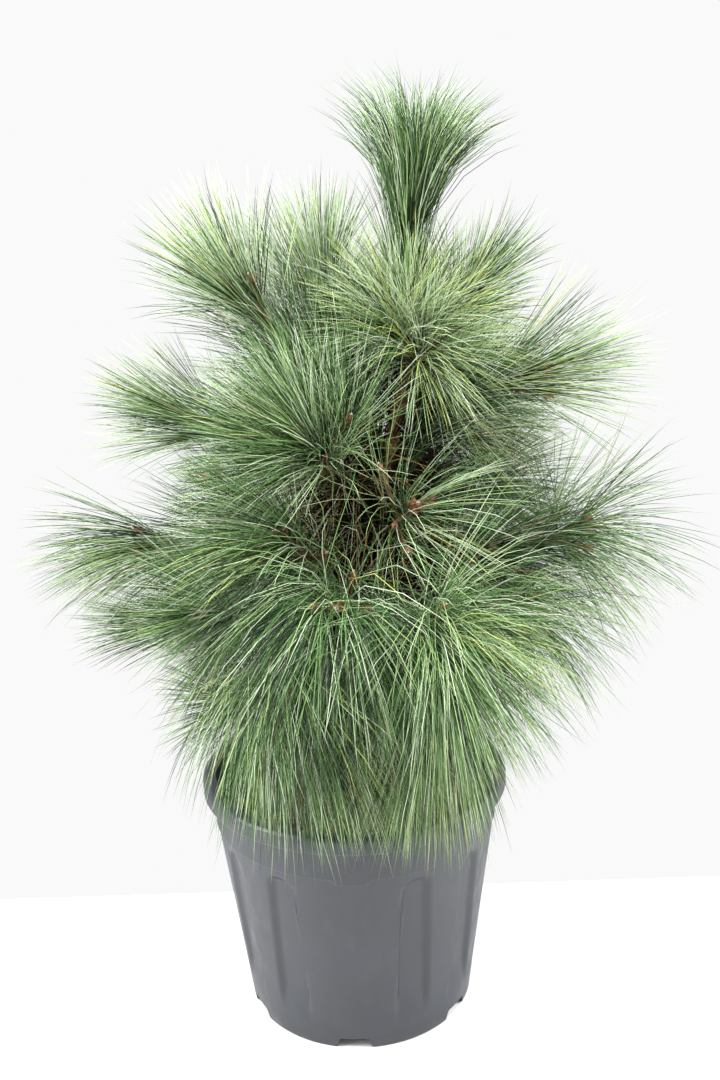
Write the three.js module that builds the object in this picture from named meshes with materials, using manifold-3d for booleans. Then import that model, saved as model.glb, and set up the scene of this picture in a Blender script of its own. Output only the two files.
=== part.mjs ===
// A young Schwerin pine of the form Wiethorst in its nursery pot.
// Millimetres, Z up. The pot's axis is Z, it stands on z = 0, and -Y is the front.
// Azimuths are degrees in plan: 0 is +X (right), -90 is the front, 180 is left, 90 is the back.
import * as THREE from "three";
import { mergeVertices } from "three/addons/utils/BufferGeometryUtils.js";
import Module from "manifold-3d";

const wasm = await Module();
wasm.setup();

// Gap left between neighbouring pieces
const CLEARANCE = 0.3;

// Pot: outer shell
const POT_HEIGHT = 250;
const POT_BASE_RADIUS = 113;
const COLLAR_Z = 199;
const BODY_TOP_RADIUS = 138.6;
const COLLAR_RADIUS = 140;
const LIP_Z = 232;
const LIP_RADIUS = 151;
const LIP_INNER_RADIUS = 137.5;
const MOUTH_Z = 238;

// Pot: flutes, with one wide flat panel at the front and one at the back
const FLUTE_PITCH = 30;
const FLUTE_PHASE = -4;
const FLUTE_HALF_WIDTH = 7.5;
const FLUTE_FLANK = 3;
const FLUTE_DEPTH = 5;
const FLUTE_FOOT = [30, 45];
const FLUTE_HEAD = [186, 197];
const PANEL_EVERY = 6;
const PANEL_STEP = 8;

// Pot: inside, underside, notches and drain holes
const WALL_SIDES = 24;
const FLOOR_THICKNESS = 4;
const INNER_FOOT_RADIUS = 103;
const INNER_COLLAR_RADIUS = 132.5;
const DISC_RADIUS = 70;
const CHANNEL_RADII = [75, 100];
const CHANNEL_HEIGHT = 12;
const FOOT_RING_RADIUS = 104;
const NOTCH_COUNT = 6;
const NOTCH_WIDTHS = [37, 30];
const NOTCH_HEIGHT = 10;
const DRAIN_RADIUS = 7;
const DRAIN_CIRCLE = 88;

// Soil
const GROUND = 224;
const SOIL_EDGE_DROP = 4;
const SOIL_ROUGHNESS = 1.6;

// Trunk
const TRUNK_TOP = 742;
const TRUNK_LEAN = 64;
const LEAN_END = 661;
const LEAN_POWER = 1.6;
const TRUNK_SWAY = 5;
const TRUNK_FOOT_RADIUS = 10.5;
const TRUNK_TOP_RADIUS = 3;
const FLARE_RADIUS = 5;
const FLARE_HEIGHT = 14;
const TRUNK_SIDES = 10;
const TRUNK_STEPS = 13;

// Boughs and shoots
const BOUGH_SIDES = 5;
const BOUGH_STEPS = 4;
const BOUGH_TIP_RADIUS = 2.6;
const BOUGH_THICKENING = 0.013;
const BOUGH_CLIMB = 42;
const BOUGH_PULL = 0.34;
const SHOOT_RADII = [3.2, 2.6];
const SIDE_TWIG_RADII = [2.6, 2.1];
const SHOOT_LENGTH = 84;
const TWIG_SIDES = 3;
const SIDE_TWIG_AT = 0.42;
const SIDE_TWIG_RATIO = 0.55;
const SIDE_TWIG_ANGLE = 44;
const SIDE_TWIGS = 2;

// Sprays of needles
const NEEDLE_LENGTH = 140;
const TOP_NEEDLE_LENGTH = 116;
const LONG_BELOW = 560;
const SHORT_ABOVE = 720;
const SHORTEST_SPRAY = 52;
const SPRAYS_ON_TWIGS = [9, 3, 3];
const SPRAY_STRETCH = [0.14, 0.97];
const SPRAY_TRIES = 7;
const TRY_TURN = 51;
const CROSSING_MM3 = 0.5;
const ROOT_ZONE = 9;
const SPRAY_WIDTH = 52;
const SPRAY_THICKNESS = 3.2;
const SPRAY_SHOULDER = 6;
const SPRAY_ROOT_SINK = 0.5;
const SPRAY_BEND_AT = 0.2;
const TOOTH_NOTCH = 0.5;
const SPLAY = [20, 82];
const DROOP = 0.5;
const GOLDEN_ANGLE = 137.508;
const SPACE_MARGIN = 1.6;
const POT_MARGIN = 3;
const LIMB_MARGIN = 1.4;
const SEED = 2311;

// Each bough: height of its root on the trunk, then its bud's azimuth, distance from the pot's
// axis and height, then the azimuth and climb of its last shoot, and how hard its needles droop.
const BOUGHS = {
  upper_right: [652, 20, 140, 712, 20, 48, 0.7],
  upper_left: [548, 183, 92, 722, 180, 50, 0.7],
  upper_back: [566, 103, 66, 728, 108, 60, 0.6],
  high_right: [556, -4, 184, 640, -6, 14, 0.9],
  high_front_left: [534, -110, 96, 604, -116, 44, 1.2],
  high_left: [520, 181, 148, 610, 184, 22, 1],
  high_front_right: [506, -60, 118, 540, -70, 30, 1.3],
  high_back: [530, 84, 126, 634, 86, 40, 0.9],
  high_back_right: [514, 42, 168, 598, 40, 30, 1],
  middle_left: [420, 180, 186, 482, 181, 4, 0.8],
  middle_front_left: [436, -116, 122, 520, -120, 36, 1.6],
  middle_front: [404, -92, 172, 476, -96, 18, 2],
  middle_front_right: [388, -66, 198, 444, -62, 8, 2],
  middle_right: [422, 0, 226, 486, 2, 12, 0.7],
  middle_left_front: [386, -142, 160, 446, -146, 6, 1.2],
  middle_back: [408, 92, 180, 496, 92, 18, 1.2],
  middle_back_right: [434, 44, 206, 504, 42, 16, 1.2],
  middle_back_left: [398, 138, 192, 514, 140, 20, 1.2],
  low_right: [324, -19, 184, 424, -20, 0, 1],
  low_left: [330, 178, 174, 402, 180, 2, 0.9],
  low_left_front: [298, -150, 132, 350, -152, 4, 1.6],
  low_front_left: [312, -107, 152, 386, -108, 0, 2.6],
  low_front_right: [290, -66, 158, 374, -64, -4, 2.6],
  low_back: [302, 92, 160, 380, 92, 0, 2],
  low_back_right: [314, 44, 178, 388, 44, 2, 1.6],
  low_back_left: [288, 136, 170, 378, 136, 0, 1.6],
};

// Shoots that stand on the trunk itself: height of the root, azimuth, climb, length and droop.
const TRUNK_SHOOTS = {
  crown_front_left: [650, -124, 46, 44, 1.3],
  crown_front_right: [634, -50, 40, 48, 1.3],
  crown_back: [672, 84, 46, 44, 1],
};
const LEADER_BUD = [67, 0, 780];
const LEADER_SPLAY = [10, 38];
const LEADER_DROOP = 0.1;
const LEADER_FORK = 0.25;
const LEADER_NEEDLE_LENGTH = 124;

const rad = THREE.MathUtils.degToRad;
const lerp = THREE.MathUtils.lerp;
const DOWN = new THREE.Vector3(0, 0, -1);

// Repeatable random numbers from 0 to 1
function randomFrom(seed) {
  let state = seed >>> 0;
  return () => {
    state = (state + 0x6d2b79f5) >>> 0;
    let t = Math.imul(state ^ (state >>> 15), 1 | state);
    t = (t + Math.imul(t ^ (t >>> 7), 61 | t)) ^ t;
    return ((t ^ (t >>> 14)) >>> 0) / 4294967296;
  };
}

// A factor that lies within a share either side of 1
function vary(share, random) {
  return 1 + share * (2 * random() - 1);
}

// A geometry's solid, with its shared vertices merged
function solidOf(geometry) {
  const bare = geometry.index ? geometry.toNonIndexed() : geometry.clone();
  for (const name of Object.keys(bare.attributes)) {
    if (name !== "position") bare.deleteAttribute(name);
  }
  const merged = mergeVertices(bare, 1e-4);
  return new wasm.Manifold(
    new wasm.Mesh({
      numProp: 3,
      vertProperties: new Float32Array(merged.attributes.position.array),
      triVerts: new Uint32Array(merged.index.array),
    }),
  );
}

function geometryOf(solid) {
  const mesh = solid.getMesh();
  const geometry = new THREE.BufferGeometry();
  geometry.setAttribute("position", new THREE.BufferAttribute(mesh.vertProperties, 3));
  geometry.setIndex(new THREE.BufferAttribute(mesh.triVerts, 1));
  geometry.computeVertexNormals();
  return geometry;
}

function indexed(points, faces) {
  const geometry = new THREE.BufferGeometry().setFromPoints(points);
  geometry.setIndex(faces.flat());
  return geometry;
}

// A direction from its azimuth and climb in degrees
function direction(azimuth, climb) {
  const flat = Math.cos(rad(climb));
  return new THREE.Vector3(
    flat * Math.cos(rad(azimuth)),
    flat * Math.sin(rad(azimuth)),
    Math.sin(rad(climb)),
  );
}

// Rings of points joined into one closed body; each ring lists its points the same way round
function skin(rings) {
  const sides = rings[0].length;
  const faces = [];
  for (let i = 0; i + 1 < rings.length; i++) {
    for (let k = 0; k < sides; k++) {
      const a = i * sides + k;
      const b = i * sides + ((k + 1) % sides);
      faces.push([a, b, b + sides], [a, b + sides, a + sides]);
    }
  }
  const last = (rings.length - 1) * sides;
  for (let k = 1; k + 1 < sides; k++) {
    faces.push([0, k + 1, k], [last, last + k, last + k + 1]);
  }
  return indexed(rings.flat(), faces);
}

// A round tapering limb along a list of centres, each with its radius and heading
function limb(centres, radii, headings, sides) {
  const rings = [];
  const across = new THREE.Vector3();
  centres.forEach((centre, i) => {
    const along = headings[i];
    if (i === 0) across.set(0, 1, 0).addScaledVector(along, -along.y);
    else across.addScaledVector(along, -across.dot(along));
    if (across.lengthSq() < 1e-6) across.set(1, 0, 0).addScaledVector(along, -along.x);
    across.normalize();
    const up = along.clone().cross(across);
    const ring = [];
    for (let k = 0; k < sides; k++) {
      const turn = (2 * Math.PI * k) / sides;
      const point = centre.clone();
      point.addScaledVector(across, radii[i] * Math.cos(turn));
      point.addScaledVector(up, radii[i] * Math.sin(turn));
      ring.push(point);
    }
    rings.push(ring);
  });
  return skin(rings);
}

// The pot's outer wall below the collar
function bodyRadius(z) {
  return lerp(POT_BASE_RADIUS, BODY_TOP_RADIUS, z / COLLAR_Z);
}

// The flutes' centres, and every azimuth at which the wall has a corner
function fluteAzimuths() {
  const azimuths = [];
  for (let k = 0; k < 360 / FLUTE_PITCH; k++) {
    const centre = FLUTE_PHASE - 90 + k * FLUTE_PITCH;
    if (k % PANEL_EVERY === 0) {
      for (let step = -1; step <= 1; step++) azimuths.push([centre + step * PANEL_STEP, 0]);
    } else {
      const inner = FLUTE_HALF_WIDTH - FLUTE_FLANK;
      azimuths.push([centre - FLUTE_HALF_WIDTH, 0], [centre - inner, 1]);
      azimuths.push([centre + inner, 1], [centre + FLUTE_HALF_WIDTH, 0]);
    }
  }
  return azimuths;
}

// The pot's outer skin as one closed body, from its foot to the flat top of its lip
function potShell() {
  const azimuths = fluteAzimuths();
  const rings = [];
  const wall = (z, radius, fluted) =>
    rings.push(
      azimuths.map(([azimuth, depth]) => {
        const r = radius - (fluted ? depth * FLUTE_DEPTH : 0);
        return new THREE.Vector3(r * Math.cos(rad(azimuth)), r * Math.sin(rad(azimuth)), z);
      }),
    );
  wall(0, bodyRadius(0), false);
  wall(FLUTE_FOOT[0], bodyRadius(FLUTE_FOOT[0]), false);
  wall(FLUTE_FOOT[1], bodyRadius(FLUTE_FOOT[1]), true);
  wall(FLUTE_HEAD[0], bodyRadius(FLUTE_HEAD[0]), true);
  wall(FLUTE_HEAD[1], bodyRadius(FLUTE_HEAD[1]), false);
  wall(COLLAR_Z, COLLAR_RADIUS, false);
  wall(LIP_Z, COLLAR_RADIUS + 1.5, false);
  const bead = POT_HEIGHT - LIP_Z;
  wall(LIP_Z + 0.1 * bead, LIP_RADIUS - 1.5, false);
  wall(LIP_Z + 0.45 * bead, LIP_RADIUS, false);
  wall(LIP_Z + 0.85 * bead, LIP_RADIUS - 1, false);
  wall(POT_HEIGHT, LIP_RADIUS - 5, false);
  return solidOf(skin(rings));
}

// A profile of radius and height turned about the pot's axis
function turned(profile) {
  const points = profile.map(([r, z]) => new THREE.Vector2(r, z));
  const lathe = new THREE.LatheGeometry(points, WALL_SIDES);
  lathe.rotateX(Math.PI / 2);
  return lathe;
}

// The inner wall above the collar
function mouthRadius(z) {
  return lerp(INNER_COLLAR_RADIUS, LIP_INNER_RADIUS, (z - COLLAR_Z) / (MOUTH_Z - COLLAR_Z));
}

// The hollow of the pot, drawn in by a given gap; top gives its last points at the mouth
function hollowProfile(gap, top) {
  const step = CHANNEL_HEIGHT + FLOOR_THICKNESS;
  return [
    [0, FLOOR_THICKNESS + gap],
    [DISC_RADIUS - gap, FLOOR_THICKNESS + gap],
    [CHANNEL_RADII[0] - gap, step + gap],
    [INNER_FOOT_RADIUS - gap, step + gap],
    ...top,
  ];
}

// A slanted notch in the foot, from outside the wall into the channel under the floor
function potNotch(azimuth) {
  const outline = new THREE.Shape();
  outline.moveTo(-NOTCH_WIDTHS[0] / 2, -1);
  outline.lineTo(NOTCH_WIDTHS[0] / 2, -1);
  outline.lineTo(NOTCH_WIDTHS[1] / 2, NOTCH_HEIGHT);
  outline.lineTo(-NOTCH_WIDTHS[1] / 2, NOTCH_HEIGHT);
  const outside = POT_BASE_RADIUS + 10;
  const depth = outside - CHANNEL_RADII[1] + 3;
  const cutter = new THREE.ExtrudeGeometry(outline, { depth, bevelEnabled: false });
  cutter.rotateX(Math.PI / 2);
  cutter.translate(0, outside, 0);
  cutter.rotateZ(rad(azimuth - 90));
  return solidOf(cutter);
}

function drainHole(azimuth) {
  const drill = new THREE.CylinderGeometry(DRAIN_RADIUS, DRAIN_RADIUS, 3 * FLOOR_THICKNESS, 8);
  drill.rotateX(Math.PI / 2);
  drill.translate(DRAIN_CIRCLE, 0, CHANNEL_HEIGHT + FLOOR_THICKNESS / 2);
  drill.rotateZ(rad(azimuth));
  return solidOf(drill);
}

function makePot() {
  const mouth = [
    [INNER_COLLAR_RADIUS, COLLAR_Z],
    [LIP_INNER_RADIUS, MOUTH_Z],
    [LIP_INNER_RADIUS, POT_HEIGHT + 2],
    [0, POT_HEIGHT + 2],
  ];
  let pot = potShell().subtract(solidOf(turned(hollowProfile(0, mouth))));
  const channel = [
    [DISC_RADIUS, -1],
    [FOOT_RING_RADIUS, -1],
    [FOOT_RING_RADIUS, 0],
    [CHANNEL_RADII[1], CHANNEL_HEIGHT],
    [CHANNEL_RADII[0], CHANNEL_HEIGHT],
    [DISC_RADIUS, 0],
    [DISC_RADIUS, -1],
  ];
  pot = pot.subtract(solidOf(turned(channel)));
  for (let k = 0; k < NOTCH_COUNT; k++) {
    const azimuth = FLUTE_PHASE - 90 + (k * 360) / NOTCH_COUNT;
    pot = pot.subtract(potNotch(azimuth)).subtract(drainHole(azimuth));
  }
  return pot;
}

// Soil that fills the pot, level round the trunk and a little lower and uneven at the edge
function makeSoil() {
  const edge = GROUND - CLEARANCE - SOIL_EDGE_DROP;
  const top = [
    [INNER_COLLAR_RADIUS - CLEARANCE, COLLAR_Z],
    [mouthRadius(edge) - CLEARANCE, edge],
    [118, edge + 1],
    [92, edge + 2],
    [46, GROUND - CLEARANCE],
    [0, GROUND - CLEARANCE],
  ];
  const soil = turned(hollowProfile(CLEARANCE, top));
  const position = soil.attributes.position;
  for (let i = 0; i < position.count; i++) {
    const r = Math.hypot(position.getX(i), position.getY(i));
    const z = position.getZ(i);
    if (z < edge || r < 50 || r > 125) continue;
    const azimuth = Math.atan2(position.getY(i), position.getX(i));
    const bump = Math.sin(5 * azimuth + 0.06 * r) + Math.sin(8 * azimuth - 0.11 * r);
    position.setZ(i, z + SOIL_ROUGHNESS * 0.5 * bump);
  }
  return solidOf(soil);
}

// The trunk's middle at a height: it leans to the right up to its last whorl
function trunkAt(z) {
  const lean = Math.min(1, (z - GROUND) / (LEAN_END - GROUND)) ** LEAN_POWER;
  const sway = Math.sin((Math.PI * (z - GROUND)) / (LEAN_END - GROUND));
  return new THREE.Vector3(TRUNK_LEAN * lean, -TRUNK_SWAY * sway * (z < LEAN_END ? 1 : 0), z);
}

function trunkRadius(z) {
  const t = (z - GROUND) / (TRUNK_TOP - GROUND);
  const taper = lerp(TRUNK_TOP_RADIUS, TRUNK_FOOT_RADIUS, Math.max(1 - t, 0) ** 1.1);
  return taper + FLARE_RADIUS * Math.exp((GROUND - z) / FLARE_HEIGHT);
}

function trunkHeights() {
  const heights = [GROUND, GROUND + 7, GROUND + 16, GROUND + 32];
  const steps = TRUNK_STEPS - heights.length;
  for (let i = 1; i <= steps; i++) {
    heights.push(lerp(GROUND + 32, TRUNK_TOP, i / steps));
  }
  return heights;
}

// The trunk grown by a gap all round; every ring lies level, so its foot is a flat cut
function makeTrunk(gap) {
  const rings = trunkHeights().map((z) => {
    const centre = trunkAt(z);
    const ring = [];
    for (let k = 0; k < TRUNK_SIDES; k++) {
      const turn = (2 * Math.PI * k) / TRUNK_SIDES;
      const r = trunkRadius(z) + gap;
      ring.push(centre.clone().add(new THREE.Vector3(r * Math.cos(turn), r * Math.sin(turn), 0)));
    }
    return ring;
  });
  return solidOf(skin(rings));
}

// One bough's curve from the trunk's middle to where its last shoot begins
function boughCurve([rootHeight, azimuth, reach, height, shootAzimuth, shootClimb, droop]) {
  const root = trunkAt(rootHeight);
  const heading = direction(shootAzimuth, shootClimb);
  const bud = new THREE.Vector3(reach * Math.cos(rad(azimuth)), reach * Math.sin(rad(azimuth)), height);
  const tip = bud.clone().addScaledVector(heading, -SHOOT_LENGTH);
  const span = tip.distanceTo(root);
  const away = THREE.MathUtils.radToDeg(Math.atan2(tip.y - root.y, tip.x - root.x));
  const start = direction(away, BOUGH_CLIMB);
  return {
    heading,
    droop,
    span,
    curve: new THREE.CubicBezierCurve3(
      root,
      root.clone().addScaledVector(start, BOUGH_PULL * span),
      tip.clone().addScaledVector(heading, -BOUGH_PULL * span),
      tip,
    ),
  };
}

function boughRadius(span, t) {
  return lerp(BOUGH_TIP_RADIUS + BOUGH_THICKENING * span, BOUGH_TIP_RADIUS, t);
}

function makeBough({ curve, span }, trunkGap) {
  const centres = curve.getPoints(BOUGH_STEPS);
  const radii = centres.map((_, i) => boughRadius(span, i / BOUGH_STEPS));
  const headings = centres.map((_, i) => curve.getTangent(i / BOUGH_STEPS));
  const whole = solidOf(limb(centres, radii, headings, BOUGH_SIDES)).subtract(trunkGap);
  return largest(whole);
}

function largest(solid) {
  return solid.decompose().reduce((a, b) => (b.volume() > a.volume() ? b : a));
}

// A mass's stem and side twigs, as straight runs with a radius at each end
function growTwigs(root, heading, length, fork, random) {
  const bud = root.clone().addScaledVector(heading, length);
  const twigs = [{ from: root, to: bud, radii: SHOOT_RADII }];
  const aside = heading.clone().cross(DOWN).normalize();
  const over = aside.clone().cross(heading);
  const firstTurn = 2 * Math.PI * random();
  for (let k = 0; k < SIDE_TWIGS; k++) {
    const turn = firstTurn + (2 * Math.PI * (k + 0.3 * random())) / SIDE_TWIGS;
    const from = root.clone().lerp(bud, SIDE_TWIG_AT * vary(0.3, random));
    const angle = rad(SIDE_TWIG_ANGLE * fork * vary(0.2, random));
    const way = heading.clone().multiplyScalar(Math.cos(angle));
    way.addScaledVector(aside, Math.sin(angle) * Math.cos(turn));
    way.addScaledVector(over, Math.sin(angle) * Math.sin(turn));
    const reach = length * SIDE_TWIG_RATIO * vary(0.15, random);
    const to = from.clone().addScaledVector(way, reach);
    twigs.push({ from, to, radii: SIDE_TWIG_RADII });
  }
  return twigs;
}

// A spray of needles: a thin blade with a ridge that starts at a point inside its twig, bends
// down at its shoulder and widens to three teeth
function sprayPoints(root, heading, side, length, droop) {
  const bent = heading.clone().addScaledVector(DOWN, droop).normalize();
  const width = (SPRAY_WIDTH * (0.55 + (0.45 * length) / NEEDLE_LENGTH)) / 2;
  const far = length * (1 - SPRAY_BEND_AT);
  const middle = root.clone().addScaledVector(heading, length * SPRAY_BEND_AT);
  const rise = side.clone().cross(heading).add(side.clone().cross(bent)).normalize();
  const notch = 0.5 * lerp(SPRAY_SHOULDER, width, TOOTH_NOTCH);
  const at = (forward, aside) =>
    middle.clone().addScaledVector(bent, forward).addScaledVector(side, aside);
  return [
    root.clone().addScaledVector(heading, -SPRAY_ROOT_SINK),
    at(0, -SPRAY_SHOULDER),
    at(0, SPRAY_SHOULDER),
    middle.clone().addScaledVector(rise, SPRAY_THICKNESS),
    at(0.94 * far, -width),
    at(TOOTH_NOTCH * far, -notch),
    at(far, 0),
    at(TOOTH_NOTCH * far, notch),
    at(0.94 * far, width),
  ];
}

const SPRAY_FACES = [
  [0, 1, 2],
  [0, 3, 1], [0, 2, 3],
  [3, 4, 1], [3, 5, 4], [3, 6, 5], [3, 7, 6], [3, 8, 7], [3, 2, 8],
  [1, 4, 5], [5, 6, 7], [7, 8, 2], [1, 5, 7], [1, 7, 2],
];
const SPRAY_OUTLINE = [0, 1, 4, 5, 6, 7, 8, 2];

// Points all over a spray's outline and middle, on which its space is tested
function spraySamples(points) {
  const samples = [points[3]];
  const step = 5;
  SPRAY_OUTLINE.forEach((from, i) => {
    const to = SPRAY_OUTLINE[(i + 1) % SPRAY_OUTLINE.length];
    for (let k = 0; k < step; k++) samples.push(points[from].clone().lerp(points[to], k / step));
  });
  [0, 6].forEach((end) => {
    for (let k = 1; k < step; k++) samples.push(points[3].clone().lerp(points[end], k / step));
  });
  return samples;
}

function distanceToRun(point, from, to) {
  const run = to.clone().sub(from);
  const t = THREE.MathUtils.clamp(point.clone().sub(from).dot(run) / run.lengthSq(), 0, 1);
  return { t, gap: point.distanceTo(from.clone().addScaledVector(run, t)) };
}

function distanceToTwigs(point, twigs) {
  return Math.min(...twigs.map(({ from, to }) => distanceToRun(point, from, to).gap));
}

// Whether a point is off the pot's rim and wall, and over the soil
function clearsPot(point) {
  const r = Math.hypot(point.x, point.y);
  if (r > LIP_RADIUS + POT_MARGIN) return true;
  const under = r > LIP_INNER_RADIUS - POT_MARGIN ? POT_HEIGHT : GROUND;
  return point.z > under + POT_MARGIN;
}

// A point is free when it's nearer its own twigs than any other mass's, and off pot and limbs
function isFree(point, own, masses, limbs) {
  if (!clearsPot(point)) return false;
  const here = distanceToTwigs(point, own.twigs);
  for (const other of masses) {
    if (other === own || other.middle.distanceTo(point) > here + other.size) continue;
    if (distanceToTwigs(point, other.twigs) < here + SPACE_MARGIN) return false;
  }
  for (const { centres, radii } of limbs) {
    for (let i = 0; i + 1 < centres.length; i++) {
      const { t, gap } = distanceToRun(point, centres[i], centres[i + 1]);
      if (gap < lerp(radii[i], radii[i + 1], t) + LIMB_MARGIN) return false;
    }
  }
  return true;
}

// The longest spray that stays in its mass's own space, or nothing
function fitSpray(root, heading, side, length, droop, own, masses, limbs) {
  for (let size = length; size >= SHORTEST_SPRAY; size *= 0.88) {
    const points = sprayPoints(root, heading, side, size, droop * (size / length));
    const clear = spraySamples(points).every(
      (point) => point.distanceTo(root) < ROOT_ZONE || isFree(point, own, masses, limbs),
    );
    if (clear) return { size, solid: solidOf(indexed(points, SPRAY_FACES)) };
  }
  return null;
}

// The best of a few turns about the twig: the longest spray that crosses no other of its mass
function bestSpray(place, mass, masses, limbs, sprays, random) {
  const { root, along, aside, over, splay, turn } = place;
  let best = null;
  for (let k = 0; k < SPRAY_TRIES; k++) {
    const angle = turn + rad(TRY_TURN * k);
    const out = aside.clone().multiplyScalar(Math.cos(angle)).addScaledVector(over, Math.sin(angle));
    const lean = splay * vary(0.15, random);
    const heading = along.clone().multiplyScalar(Math.cos(lean)).addScaledVector(out, Math.sin(lean));
    const side = heading.clone().cross(out).normalize();
    const level = Math.hypot(heading.x, heading.y);
    const droop = DROOP * mass.droop * lerp(0.35, 1, level) * vary(0.2, random);
    const length = 0.97 * mass.needle * vary(0.07, random);
    const spray = fitSpray(root, heading, side, length, droop, mass, masses, limbs);
    if (!spray || (best && spray.size < best.size * 1.15)) continue;
    const crossed = sprays ? sprays.intersect(spray.solid).volume() : 0;
    if (crossed < CROSSING_MM3) best = spray;
    if (best && best.size > 0.9 * mass.needle) break;
  }
  return best && best.solid;
}

function makeMass(mass, masses, limbs, trunkGap) {
  const random = randomFrom(mass.seed);
  let wood = null;
  mass.twigs.forEach(({ from, to, radii }) => {
    const heading = to.clone().sub(from).normalize();
    const twig = solidOf(limb([from, to], radii, [heading, heading], TWIG_SIDES));
    wood = wood ? wood.add(twig) : twig;
  });
  if (mass.onTrunk) wood = largest(wood.subtract(trunkGap));
  let sprays = null;
  mass.twigs.forEach(({ from, to }, i) => {
    const along = to.clone().sub(from).normalize();
    const level = Math.abs(along.z) > 0.9 ? new THREE.Vector3(1, 0, 0) : DOWN;
    const aside = along.clone().cross(level).normalize();
    const over = aside.clone().cross(along);
    const count = SPRAYS_ON_TWIGS[i];
    for (let k = 0; k < count; k++) {
      const t = lerp(...SPRAY_STRETCH, (k + 0.5) / count);
      const splay = rad(lerp(mass.splay[1], mass.splay[0], t));
      const turn = rad(GOLDEN_ANGLE * k + 40 * i) + 0.4 * random();
      const place = { root: from.clone().lerp(to, t), along, aside, over, splay, turn };
      const spray = bestSpray(place, mass, masses, limbs, sprays, random);
      if (spray) sprays = sprays ? sprays.add(spray) : spray;
    }
  });
  return largest(wood.add(sprays));
}

// Every mass: its name, its twigs and the way its needles stand
function planMasses(boughs) {
  const masses = [];
  const plan = (name, root, heading, length, droop, traits = {}) => {
    const seed = SEED + 97 * masses.length;
    const twigs = growTwigs(root, heading, length, traits.fork ?? 1, randomFrom(seed + 1));
    const middle = root.clone().addScaledVector(heading, length / 2);
    const young = THREE.MathUtils.smoothstep(middle.z, LONG_BELOW, SHORT_ABOVE);
    const needle = lerp(NEEDLE_LENGTH, TOP_NEEDLE_LENGTH, young);
    masses.push({ name, seed, twigs, middle, size: length, needle, droop, splay: SPLAY, ...traits });
  };
  for (const [name, { curve, heading, droop }] of Object.entries(boughs)) {
    const root = curve.getPoint(1).addScaledVector(heading, CLEARANCE);
    plan("needles_" + name, root, heading, SHOOT_LENGTH - CLEARANCE, droop);
  }
  for (const [name, [height, azimuth, climb, length, droop]] of Object.entries(TRUNK_SHOOTS)) {
    plan("needles_" + name, trunkAt(height), direction(azimuth, climb), length, droop, { onTrunk: true });
  }
  const top = trunkAt(TRUNK_TOP).addScaledVector(DOWN, -CLEARANCE);
  const leader = new THREE.Vector3(...LEADER_BUD).sub(top);
  const traits = { splay: LEADER_SPLAY, fork: LEADER_FORK, needle: LEADER_NEEDLE_LENGTH };
  plan("needles_leader", top, leader.clone().normalize(), leader.length(), LEADER_DROOP, traits);
  return masses;
}

const plastic = new THREE.MeshStandardMaterial({ color: 0x3a3f43, roughness: 0.5, metalness: 0 });
const peat = new THREE.MeshStandardMaterial({ color: 0x2a1d14, roughness: 1, metalness: 0 });
const bark = new THREE.MeshStandardMaterial({ color: 0x7a5232, roughness: 0.9, metalness: 0 });
const needles = new THREE.MeshStandardMaterial({ color: 0x4f7a52, roughness: 0.6, metalness: 0 });

const tree = new THREE.Group();

function place(name, solid, material, parent) {
  const mesh = new THREE.Mesh(geometryOf(solid), material);
  mesh.name = name;
  parent.add(mesh);
}

function buildContainer() {
  const container = new THREE.Group();
  place("pot", makePot(), plastic, container);
  place("soil", makeSoil(), peat, container);
  tree.add(container);
}

function buildTree() {
  const wood = new THREE.Group();
  const foliage = new THREE.Group();
  const trunkGap = makeTrunk(CLEARANCE + 0.05);
  place("trunk", makeTrunk(0), bark, wood);
  const boughs = {};
  const limbs = [];
  for (const [name, row] of Object.entries(BOUGHS)) {
    boughs[name] = boughCurve(row);
    place("bough_" + name, makeBough(boughs[name], trunkGap), bark, wood);
    const centres = boughs[name].curve.getPoints(2 * BOUGH_STEPS);
    const radii = centres.map((_, i) => boughRadius(boughs[name].span, i / (2 * BOUGH_STEPS)));
    limbs.push({ centres, radii });
  }
  const heights = trunkHeights();
  limbs.push({ centres: heights.map(trunkAt), radii: heights.map(trunkRadius) });
  const masses = planMasses(boughs);
  for (const mass of masses) {
    place(mass.name, makeMass(mass, masses, limbs, trunkGap), needles, foliage);
  }
  tree.add(wood, foliage);
}

buildContainer();
buildTree();

export default tree;
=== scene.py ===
"""A young Schwerin pine of the form Wiethorst, 90 cm tall, in its nursery pot.

Lengths are in millimetres until a mesh is made. Z is up, the pot's axis is Z, it stands on z = 0
and -Y is the front. Azimuths are degrees in plan: 0 is +X (right), -90 is the front, 180 is left
and 90 is the back.
"""

import itertools
import math

import bpy
import numpy as np
from mathutils import Matrix, Vector


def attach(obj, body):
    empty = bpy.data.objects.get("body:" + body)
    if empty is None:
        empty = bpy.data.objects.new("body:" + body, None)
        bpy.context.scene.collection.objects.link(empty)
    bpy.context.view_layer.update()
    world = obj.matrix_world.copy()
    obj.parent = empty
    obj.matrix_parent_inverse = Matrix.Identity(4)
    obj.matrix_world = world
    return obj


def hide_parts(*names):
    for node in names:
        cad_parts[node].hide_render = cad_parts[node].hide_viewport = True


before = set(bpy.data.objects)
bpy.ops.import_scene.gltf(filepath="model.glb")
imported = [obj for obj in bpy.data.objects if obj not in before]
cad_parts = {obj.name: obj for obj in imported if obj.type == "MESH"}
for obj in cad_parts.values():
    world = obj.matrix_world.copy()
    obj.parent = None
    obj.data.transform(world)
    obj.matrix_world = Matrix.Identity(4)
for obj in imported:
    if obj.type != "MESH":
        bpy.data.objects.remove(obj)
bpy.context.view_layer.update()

MM = 0.001
DOWN = np.array([0.0, 0.0, -1.0])
GOLDEN_ANGLE = 137.508
SEED = 2311

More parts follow.
